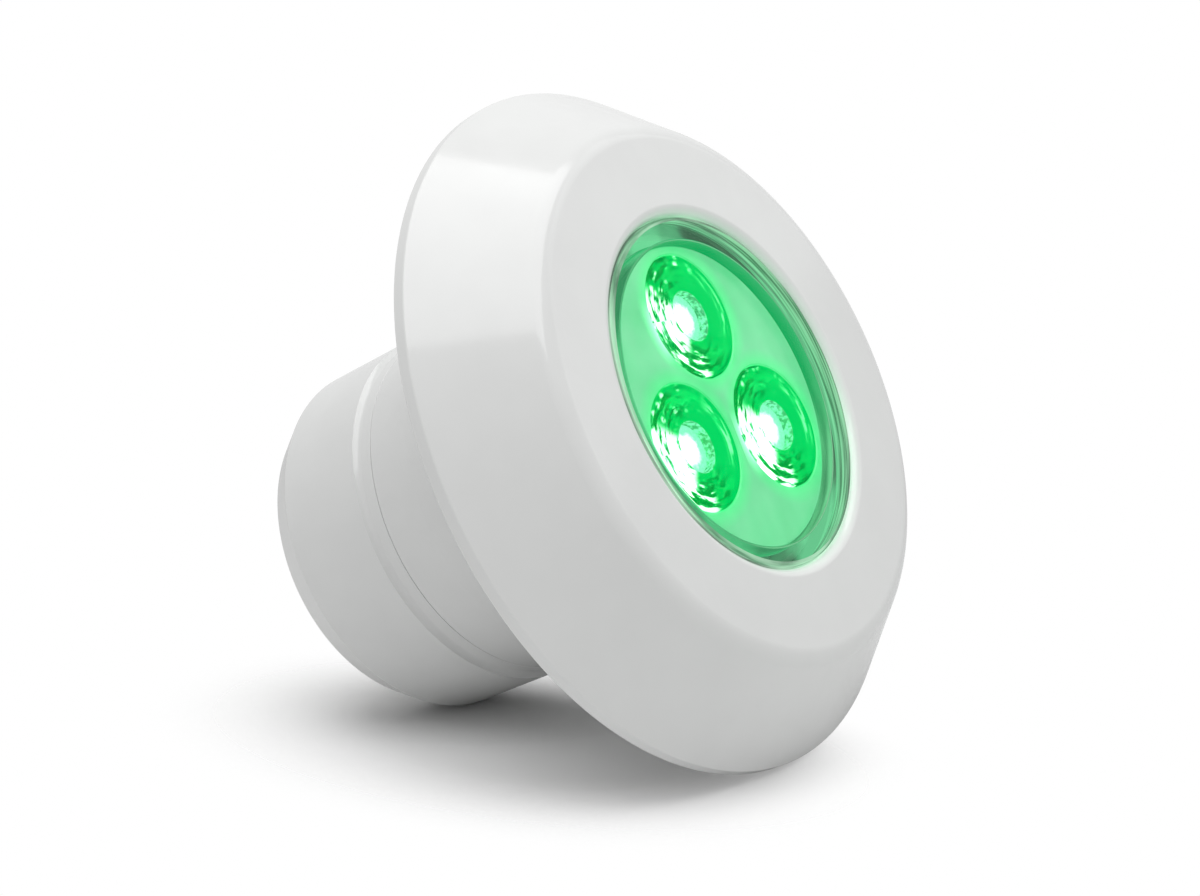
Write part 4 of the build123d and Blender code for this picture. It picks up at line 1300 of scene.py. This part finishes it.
class POOLLIGHT_OT_optic_plate(bpy.types.Operator):
    """Mould the lit optic plate with its three openings and its skirt"""

    bl_idname = "poollight.optic_plate"
    bl_label = "Optic plate"
    bl_options = {"REGISTER", "UNDO"}

    def execute(self, context):
        size = context.scene.pool_light_optics
        finish = context.scene.pool_light_finishes
        radius = reach("optic_plate")
        top = front("optic_plate")
        bottom = back("optic_plate")
        bore = radius - size.plate_wall
        under = top - size.plate_thickness
        plate = turned(
            "optic_plate_cup",
            [
                (radius, top, 0.3 * MM),
                (radius, bottom, 0.2 * MM),
                (bore, bottom),
                (bore, under, 0.2 * MM),
            ],
            size.sides,
            closed=False,
        )
        opening = half_width("collimator_1") + SEAT_GAP
        chamfer = 0.2 * MM
        cutters = [
            turned(
                "opening",
                [
                    (opening + 2 * chamfer, top + chamfer),
                    (opening, top - chamfer),
                    (opening, under - size.rim),
                ],
                size.sides // 2,
                middle(f"collimator_{led}"),
                closed=False,
            )
            for led in LED_NUMBERS
        ]
        combine(plate, joined(cutters), "DIFFERENCE")
        # Painted light: the plate's green base colour and its glow stand in for the LEDs' light.
        lit = painted_glow_plastic(
            "Optic plate with painted glow",
            linear("4F8F68"),
            finish.painted_plate_glow_near,
            finish.painted_plate_glow,
            ((opening - finish.painted_spill_start) / MM, (opening + finish.painted_spill_end) / MM),
            finish.painted_plate_power,
            0.22,
            finish.painted_plate_glow_pale,
            (finish.painted_spill_strength, finish.painted_spill_pale),
        )
        finished(plate, lit, "housing", ["optic_plate"])
        return {"FINISHED"}


class POOLLIGHT_OT_collimators(bpy.types.Operator):
    """Mould one faceted collimator and copy it over each LED"""

    bl_idname = "poollight.collimators"
    bl_label = "Collimators"
    bl_options = {"REGISTER", "UNDO"}

    def execute(self, context):
        size = context.scene.pool_light_optics
        home = middle("collimator_1")
        radius = half_width("collimator_1")
        top = front("collimator_1")
        bottom = back("collimator_1")
        flank_top = Vector((radius - size.shoulder, top - size.rim))
        flank_foot = Vector((size.base_radius, bottom))
        chord = flank_foot - flank_top
        half_angle = asin(chord.length / 2 / size.flank_radius)
        centre = (flank_top + flank_foot) / 2 + Vector((chord.y, -chord.x)).normalized() * (
            size.flank_radius * cos(half_angle)
        )
        start = flank_top - centre
        curve = []
        for i in range(size.flank_steps + 1):
            turn = -2 * half_angle * i / size.flank_steps
            spot = centre + Matrix.Rotation(turn, 2) @ start
            curve.append((spot.x, spot.y))
        cup = turned(
            "collimator_lens_1",
            [
                (size.well_radius, top - size.well_depth),
                (size.well_radius, top, 0.15 * MM),
                (radius, top, 0.25 * MM),
                (radius, top - size.rim),
                *curve,
                (size.cavity_radius, bottom),
                (size.cavity_radius, bottom + size.cavity_depth, 0.3 * MM),
            ],
            size.facets,
            home,
            closed=False,
        )
        finish = context.scene.pool_light_finishes
        # Painted green light in the collimators' clear tint.
        tint = finish.painted_collimator_tint
        floor = -(top - size.well_depth)
        near = 0.1 * MM
        # Painted light: glow, glints and shade painted on each collimator's flank, front, well and
        # cavity.
        flank = painted_glint_flank(
            "Acrylic flank with painted glints", tint, ACRYLIC, finish.painted_holder_glow, finish.painted_flank_glints
        )
        front_face = painted_glint_front(
            "Acrylic front with painted glints", tint, ACRYLIC, finish.painted_collimator_green, finish.painted_front_glints
        )
        well = painted_well_floor(
            "Pebbled well with painted glow",
            tint,
            ACRYLIC,
            finish.painted_ring_glow,
            size.hot_radius / MM,
            size.well_radius / MM,
        )
        well_wall = painted_wall_glow(
            "Acrylic well wall with painted glow", tint, ACRYLIC, finish.painted_ring_glow, finish.painted_well_wall_power
        )
        cavity = painted_wall_glow("Acrylic cavity with painted glow", tint, ACRYLIC, finish.led_light, finish.painted_cavity_power)
        cup.data.materials.append(flank)

        def side(spot):
            """Distance of a place from the collimator's axis."""
            return hypot(spot.x - home[0], spot.z - home[1])

        def on_well_floor(spot):
            return side(spot) < size.well_radius - TIGHT and abs(spot.y - floor) < TIGHT

        def on_well_wall(spot):
            return abs(side(spot) - size.well_radius) < near and spot.y < floor - TIGHT

        def on_front(spot):
            return side(spot) > size.well_radius + near and spot.y < -(top - size.rim)

        def in_cavity(spot):
            return side(spot) < size.cavity_radius + TIGHT and spot.y > floor + TIGHT

        paint(cup, well, on_well_floor)
        paint(cup, well_wall, on_well_wall)
        paint(cup, front_face, on_front)
        paint(cup, cavity, in_cavity)
        for led in LED_NUMBERS[1:]:
            node = f"collimator_{led}"
            copy = copied(cup, f"collimator_lens_{led}", home, middle(node))
            finished(copy, None, "housing", [node], smooth=4)
        finished(cup, None, "housing", ["collimator_1"], smooth=4)
        return {"FINISHED"}


class POOLLIGHT_OT_leds(bpy.types.Operator):
    """Build one LED package, with a ceramic base and a lit dome, and copy it to each place"""

    bl_idname = "poollight.leds"
    bl_label = "LEDs"
    bl_options = {"REGISTER", "UNDO"}

    def execute(self, context):
        size = context.scene.pool_light_optics
        finish = context.scene.pool_light_finishes
        home = middle("led_1")
        side = 2 * half_width("led_1")
        bottom = back("led_1")
        foot = bottom + size.led_base
        deselect()
        bpy.ops.mesh.primitive_cube_add(size=1, location=(home[0], -(bottom + foot) / 2, home[1]))
        base = named("led_package_1")
        base.scale = (side, size.led_base, side)
        settle(base)
        bpy.ops.object.mode_set(mode="EDIT")
        bpy.ops.mesh.select_all(action="SELECT")
        bpy.ops.mesh.bevel(offset=size.led_edge, segments=2, affect="EDGES")
        bpy.ops.object.mode_set(mode="OBJECT")
        # White alumina given a pale green colour: painted green light from the LED.
        ceramic = speckled("Alumina ceramic with painted green light", linear("BFEFCB"), linear("A6E0B5"), 0.4, 0.5, 0.01)
        base.data.materials.append(ceramic)
        facets = 40
        steps = facets // 5
        arc = [
            (size.led_dome * cos(pi / 2 * i / steps), foot + size.led_dome * sin(pi / 2 * i / steps))
            for i in range(steps)
        ]
        dome = turned("led_dome", arc, facets, home, closed=False)
        dome.data.materials.append(led_dome("Lit LED dome", finish.led_light, finish.led_strength))
        package = joined([base, dome])
        for led in LED_NUMBERS[1:]:
            node = f"led_{led}"
            copy = copied(package, f"led_package_{led}", home, middle(node))
            finished(copy, None, "housing", [node])
        finished(package, None, "housing", ["led_1"])
        return {"FINISHED"}


class POOLLIGHT_OT_rear_cap(bpy.types.Operator):
    """Mould the screw-on rear cap with its rounded lip, tapered end, gland pocket and spanner holes"""

    bl_idname = "poollight.rear_cap"
    bl_label = "Rear cap"
    bl_options = {"REGISTER", "UNDO"}

    def execute(self, context):
        size = context.scene.pool_light_rear_cap
        radius = reach("rear_cap")
        top = front("rear_cap") + size.lip_reach
        end = back("rear_cap")
        bore = radius - size.wall
        inside = end + size.floor
        pocket = end + size.pocket_depth
        groove = bore + size.groove_depth
        groove_top = front("rear_cap") - size.seal_setback
        groove_end = groove_top - (groove - bore) - TURN_GAP
        edge = 0.4 * MM
        cap = turned(
            "rear_cap_shell",
            [
                (bore, top, edge / 2),
                (radius - size.lip_depth, top, edge / 4),
                *reversed(cove(radius, top - size.lip_length, size)),
                (radius, end + size.taper_length, size.taper_round),
                (radius - size.taper_depth, end, edge),
                (size.pocket_radius, end, edge),
                (size.pocket_radius, pocket, edge),
                (size.stem_hole, pocket),
                (size.stem_hole, pocket + size.floor),
                (size.pocket_radius + size.pocket_wall, pocket + size.floor),
                (size.pocket_radius + size.pocket_wall, inside),
                (bore - size.floor_chamfer, inside),
                (bore, inside + size.floor_chamfer),
                (bore, groove_end),
                (groove, groove_end),
                (groove, groove_top),
                (bore, groove_top),
            ],
            size.sides,
        )
        holes = pins(
            "spanner_holes",
            around(2, size.spanner_circle, 0),
            size.spanner_hole,
            end - MM,
            end + size.spanner_depth,
            size.sides // 4,
        )
        combine(cap, holes, "DIFFERENCE")
        finished(cap, white_abs(), "rear_cap", ["rear_cap"])
        return {"FINISHED"}


class POOLLIGHT_OT_gland(bpy.types.Operator):
    """Mould the cable gland: body, rubber sleeve, washer and domed nut"""

    bl_idname = "poollight.gland"
    bl_label = "Cable gland"
    bl_options = {"REGISTER", "UNDO"}

    def execute(self, context):
        size = context.scene.pool_light_gland
        edge = 0.25 * MM
        sides = 96
        top = front("gland_body")
        end = back("gland_body")
        flange_end = front("gland_nut") + TURN_GAP
        sleeve = reach("cable_sleeve")
        sleeve_top = front("cable_sleeve")
        body = turned(
            "gland_stem",
            [
                (size.bore_radius, top, edge),
                (size.stem_radius, top, edge),
                (size.stem_radius, flange_end),
                (size.end_radius, flange_end),
                (size.end_radius, end, edge),
                (sleeve + SEAT_GAP, end, edge),
                (sleeve + SEAT_GAP, sleeve_top),
                (size.bore_radius, sleeve_top),
            ],
            sides,
        )
        flange = turned(
            "gland_flange",
            [
                (size.flange_flats / 2 / cos(pi / 6) - edge, flange_end + size.flange_height),
                (size.flange_flats / 2 / cos(pi / 6), flange_end + size.flange_height - 2 * edge),
                (size.flange_flats / 2 / cos(pi / 6), flange_end + 2 * edge),
                (size.flange_flats / 2 - edge, flange_end),
                (size.stem_radius - edge, flange_end),
                (size.stem_radius - edge, flange_end + size.flange_height),
            ],
            sides,
        )
        blank = prism("hexagon", size.flange_flats, flange_end - MM, flange_end + size.flange_height + MM)
        combine(flange, blank, "INTERSECT")
        finished(joined([body, flange]), white_nylon(), "rear_cap", ["gland_body"])

        rubber = turned(
            "cable_seal_sleeve",
            [
                (size.sleeve_bore, sleeve_top, edge),
                (sleeve, sleeve_top, 2 * edge),
                (sleeve, back("cable_sleeve"), 2 * edge),
                (size.sleeve_bore, back("cable_sleeve"), edge),
            ],
            sides,
        )
        finished(rubber, grey_rubber(), "rear_cap", ["cable_sleeve"])

        washer = turned(
            "thrust_washer",
            [
                (size.bore_radius, front("gland_washer"), edge / 2),
                (reach("gland_washer"), front("gland_washer"), edge),
                (reach("gland_washer"), back("gland_washer"), edge),
                (size.bore_radius, back("gland_washer"), edge / 2),
            ],
            sides,
        )
        finished(washer, white_nylon(), "gland_washer", ["gland_washer"])

        nut_front = front("gland_nut")
        nut_end = back("gland_nut")
        corner = reach("gland_nut")
        hex_end = nut_front - size.nut_hex_height
        flats = 2 * corner * cos(pi / 6)
        nut = turned(
            "gland_dome_nut",
            [
                (size.nut_bore, nut_front, edge),
                (corner - size.nut_bevel, nut_front),
                (corner, nut_front - size.nut_bevel),
                (corner, hex_end + size.nut_bevel),
                (corner - size.nut_bevel, hex_end),
                (flats / 2 - size.nut_bevel, hex_end),
                (size.dome_radius, nut_end, size.dome_round),
                (size.bore_radius, nut_end, 2 * edge),
                (size.bore_radius, nut_end + size.nut_wall),
                (size.nut_bore, nut_end + size.nut_wall),
            ],
            sides,
        )
        combine(nut, prism("hexagon", flats, nut_end - MM, nut_front + MM), "INTERSECT")
        finished(nut, white_nylon(), "gland_nut", ["gland_nut"])
        return {"FINISHED"}


class POOLLIGHT_OT_inside(bpy.types.Operator):
    """Finish the pieces that keep their shape: seals, clamp, board, heat sink and driver"""

    bl_idname = "poollight.inside"
    bl_label = "Inner pieces"
    bl_options = {"REGISTER", "UNDO"}

    def execute(self, context):
        finish = context.scene.pool_light_finishes
        dress(white_abs(), "lens_retainer")
        dress(white_nylon(), "gland_locknut")
        nitrile = moulded_rubber("Black nitrile rubber", linear("161616"))
        dress(nitrile, "lens_seal", "cap_seal", "gland_seal")
        steel = turned_metal("Turned stainless steel", linear("C2C3C5"), 0.28)
        dress(steel, "retainer_screws", "board_screws", "driver_screws", "terminal_screws")
        dress(turned_metal("Turned brass", linear("D6B56A"), 0.25), "driver_standoffs")
        dress(turned_metal("Machined aluminium", linear("D3D5D8"), 0.32), "heat_sink")
        holders = [f"collimator_holder_{led}" for led in LED_NUMBERS]
        # Painted light: green base colour and glow on the white holders and board.
        for name, nodes in (("Nylon holder with painted glow", holders), ("White board with painted glow", ["led_board"])):
            lit = painted_glow_plastic(
                name, linear("1F8A4A"), finish.led_light, finish.painted_holder_glow, (1.6, 2.8), 0.8
            )
            dress(lit, *nodes)
        dress(solder_mask("Green solder mask", linear("1E6B35"), linear("2F8A49")), "driver_board")
        for node, name, tone, fleck, grain_size, roughness, depth in (
            ("thermal_pad", "Filled silicone pad", "8B9097", "A7ABB0", 0.5, 0.7, 0.02),
            ("inductor", "Sintered ferrite", "2B2B2E", "47474B", 0.4, 0.6, 0.03),
            ("rectifier", "Moulded black epoxy", "1B1B1C", "2A2A2B", 0.3, 0.5, 0.01),
            ("driver_chip", "Moulded chip epoxy", "202022", "303033", 0.3, 0.5, 0.01),
        ):
            dress(speckled(name, linear(tone), linear(fleck), grain_size, roughness, depth), node)
        dress(moulded_plastic("Shrunk PVC sleeve", linear("1C2436"), 0.3), "capacitors")
        dress(moulded_plastic("Moulded green polyamide", linear("2E8B57"), 0.4), "terminal_block")
        dress(moulded_plastic("Extruded red insulation", linear("B02A22"), 0.35), "led_leads")
        return {"FINISHED"}


# ---------------------------------------------------------------- the stage

class POOLLIGHT_OT_stage(bpy.types.Operator):
    """Set the camera, the lamps, the pale world and the floor that the light lies on"""

    bl_idname = "poollight.stage"
    bl_label = "Stage"
    bl_options = {"REGISTER", "UNDO"}

    def execute(self, context):
        scene = context.scene
        settings = scene.pool_light_stage
        scene.view_settings.view_transform = "Standard"

        # The light lies on its rim and on the rear cap's edge.
        cap = scene.pool_light_rear_cap
        rim = Vector((0, -scene.pool_light_faceplate.rim_break, -reach("faceplate")))
        heel = Vector((0, -(back("rear_cap") + cap.taper_length), -reach("rear_cap")))
        along = (heel - rim).normalized()
        upward = Vector((1, 0, 0)).cross(along)
        aim = Vector((-settings.aim_side, settings.aim_depth, 0))

        sight = Vector(
            (
                -sin(settings.azimuth) * cos(settings.elevation),
                -cos(settings.azimuth) * cos(settings.elevation),
                sin(settings.elevation),
            )
        )
        deselect()
        bpy.ops.object.camera_add()
        camera = bpy.context.object
        camera.name = "Camera"
        turn = sight.to_track_quat("Z", "Y") @ Quaternion((0, 0, 1), settings.roll)
        place = Matrix.Translation(aim + sight * settings.distance)
        camera.matrix_world = place @ turn.to_matrix().to_4x4()
        camera.data.lens = settings.lens
        scene.camera = camera

        forward = (sight - upward * sight.dot(upward)).normalized()
        self.floor(settings, rim - upward * settings.floor_clear, heel - rim, upward)
        key = upward * settings.key_height + forward * settings.key_forward
        self.lamp("Key lamp", aim, key, upward, forward, settings.key_size, settings.key_power)
        fill = Vector(settings.fill_place)
        self.lamp(
            "Fill lamp", aim, fill, fill.normalized(), upward, settings.fill_size, settings.fill_power
        )
        for led in LED_NUMBERS:
            x, z = middle(f"led_{led}")
            spot = Vector((x, -front("optic_plate") - TURN_GAP / 2, z))
            glow = self.lamp(
                f"Glow {led}",
                spot,
                Vector(),
                Vector((0, 1, 0)),
                Vector((0, 0, 1)),
                settings.glow_size,
                settings.glow_power,
            )
            glow.data.color = scene.pool_light_finishes.painted_holder_glow[:3]
            glow.visible_camera = glow.visible_glossy = glow.visible_transmission = False
        self.world(scene, settings)
        return {"FINISHED"}

    def lamp(self, name, aim, offset, back, edge, size, power):
        """A square soft lamp whose back and one edge point in given directions."""
        deselect()
        bpy.ops.object.light_add(type="AREA")
        lamp = bpy.context.object
        lamp.name = name
        lamp.data.shape = "SQUARE"
        lamp.data.size = size
        lamp.data.energy = power
        side = edge.cross(back).normalized()
        turn = Matrix((side, back.cross(side), back)).transposed().to_4x4()
        lamp.matrix_world = Matrix.Translation(aim + offset) @ turn
        return lamp

    def floor(self, settings, start, reach_back, upward):
        """A pale floor with a painted contact shadow, that fades into the background and isn't seen from
        below.
        """
        deselect()
        bpy.ops.mesh.primitive_circle_add(vertices=96, radius=settings.floor_reach, fill_type="NGON")
        floor = named("floor")
        along = reach_back.normalized()
        span = reach_back.length
        side = along.cross(upward)
        turn = Matrix((side, along, upward)).transposed().to_4x4()
        floor.matrix_world = Matrix.Translation(start) @ turn
        material, tree = new_tree("Pale studio floor")
        paper = add(tree, "BsdfDiffuse", settings.paper)
        # Painted contact shadow: the floor's colour darkens where ambient occlusion finds the pool light
        # close above it.
        open_sky = add(tree, "AmbientOcclusion", {"Distance": settings.contact_reach}, samples=8)
        tone = add(tree, "MapRange", open_sky.outputs["AO"], 0.2, 0.8, settings.contact_tone, 1.0)
        gain = add(tree, "Math", tone, settings.paper_gain, **TIMES)
        bright = add(
            tree,
            "BsdfDiffuse",
            add(tree, "VectorMath", {0: settings.paper[:3], "Scale": gain}, operation="SCALE"),
        )
        seen = add(tree, "LightPath").outputs["Is Camera Ray"]
        lit = add(tree, "MixShader", seen, paper, bright)
        oval = add(
            tree,
            "Mapping",
            {
                "Vector": add(tree, "TexCoord").outputs["Object"],
                "Location": (settings.fade_aside, -span * settings.fade_middle, 0),
                "Scale": (1, settings.fade_stretch, 1),
            },
        )
        away = add(tree, "VectorMath", oval, operation="LENGTH")
        fade = add(tree, "MapRange", away, settings.fade_start, settings.fade_end, **SOFT)
        under = add(tree, "NewGeometry").outputs["Backfacing"]
        hidden = add(
            tree, "Math", add(tree, "Math", fade, seen, **TIMES), under, operation="MAXIMUM"
        )
        either = add(tree, "MixShader", hidden, lit, add(tree, "BsdfTransparent"))
        add(tree, "OutputMaterial", either)
        floor.data.materials.append(material)

    def world(self, scene, settings):
        """White where it is seen or mirrored, and a plain soft light everywhere else."""
        world = bpy.data.worlds.new("Pale studio")
        scene.world = world
        world.use_nodes = True
        tree = world.node_tree
        tree.nodes.clear()
        path = add(tree, "LightPath").outputs
        seen = add(
            tree, "Math", path["Is Camera Ray"], path["Is Transmission Ray"], operation="MAXIMUM"
        )
        room = add(
            tree, "MapRange", path["Is Glossy Ray"], *UNIT, settings.ambient, settings.mirrored
        )
        power = add(tree, "Mix", {0: seen, 2: room, 3: 1.0})
        add(tree, "OutputWorld", add(tree, "Background", linear("FFFFFF"), power))


# ---------------------------------------------------------------- panel and registration

SETTINGS = {
    "pool_light_faceplate": FaceplateSizes,
    "pool_light_bayonet": BayonetSizes,
    "pool_light_housing": HousingSizes,
    "pool_light_optics": OpticSizes,
    "pool_light_rear_cap": RearCapSizes,
    "pool_light_gland": GlandSizes,
    "pool_light_finishes": Finishes,
    "pool_light_stage": StageSettings,
}

STEPS = (
    POOLLIGHT_OT_faceplate,
    POOLLIGHT_OT_housing,
    POOLLIGHT_OT_gasket,
    POOLLIGHT_OT_lens,
    POOLLIGHT_OT_optic_plate,
    POOLLIGHT_OT_collimators,
    POOLLIGHT_OT_leds,
    POOLLIGHT_OT_rear_cap,
    POOLLIGHT_OT_gland,
    POOLLIGHT_OT_inside,
    POOLLIGHT_OT_stage,
)


class POOLLIGHT_PT_panel(bpy.types.Panel):
    """Every piece of the pool light, and the sizes and finishes behind it"""

    bl_idname = "POOLLIGHT_PT_panel"
    bl_label = "Pool light"
    bl_space_type = "VIEW_3D"
    bl_region_type = "UI"
    bl_category = "Pool light"

    def draw(self, context):
        for step in STEPS:
            self.layout.operator(step.bl_idname)
        for name, group in SETTINGS.items():
            box = self.layout.box()
            box.label(text=group.__name__)
            for field in group.__annotations__:
                box.prop(getattr(context.scene, name), field)


def register():
    """Add the settings, the steps and the panel to Blender."""
    for name, group in SETTINGS.items():
        bpy.utils.register_class(group)
        setattr(bpy.types.Scene, name, PointerProperty(type=group))
    for step in STEPS:
        bpy.utils.register_class(step)
    bpy.utils.register_class(POOLLIGHT_PT_panel)


def unregister():
    """Take them away again."""
    bpy.utils.unregister_class(POOLLIGHT_PT_panel)
    for step in reversed(STEPS):
        bpy.utils.unregister_class(step)
    for name, group in reversed(SETTINGS.items()):
        delattr(bpy.types.Scene, name)
        bpy.utils.unregister_class(group)


def main():
    """Run every step on the frame."""
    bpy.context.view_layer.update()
    register()
    for step in STEPS:
        group, name = step.bl_idname.split(".")
        if getattr(getattr(bpy.ops, group), name)() != {"FINISHED"}:
            raise RuntimeError(f"{step.bl_label} wasn't finished")


if __name__ == "__main__":
    main()
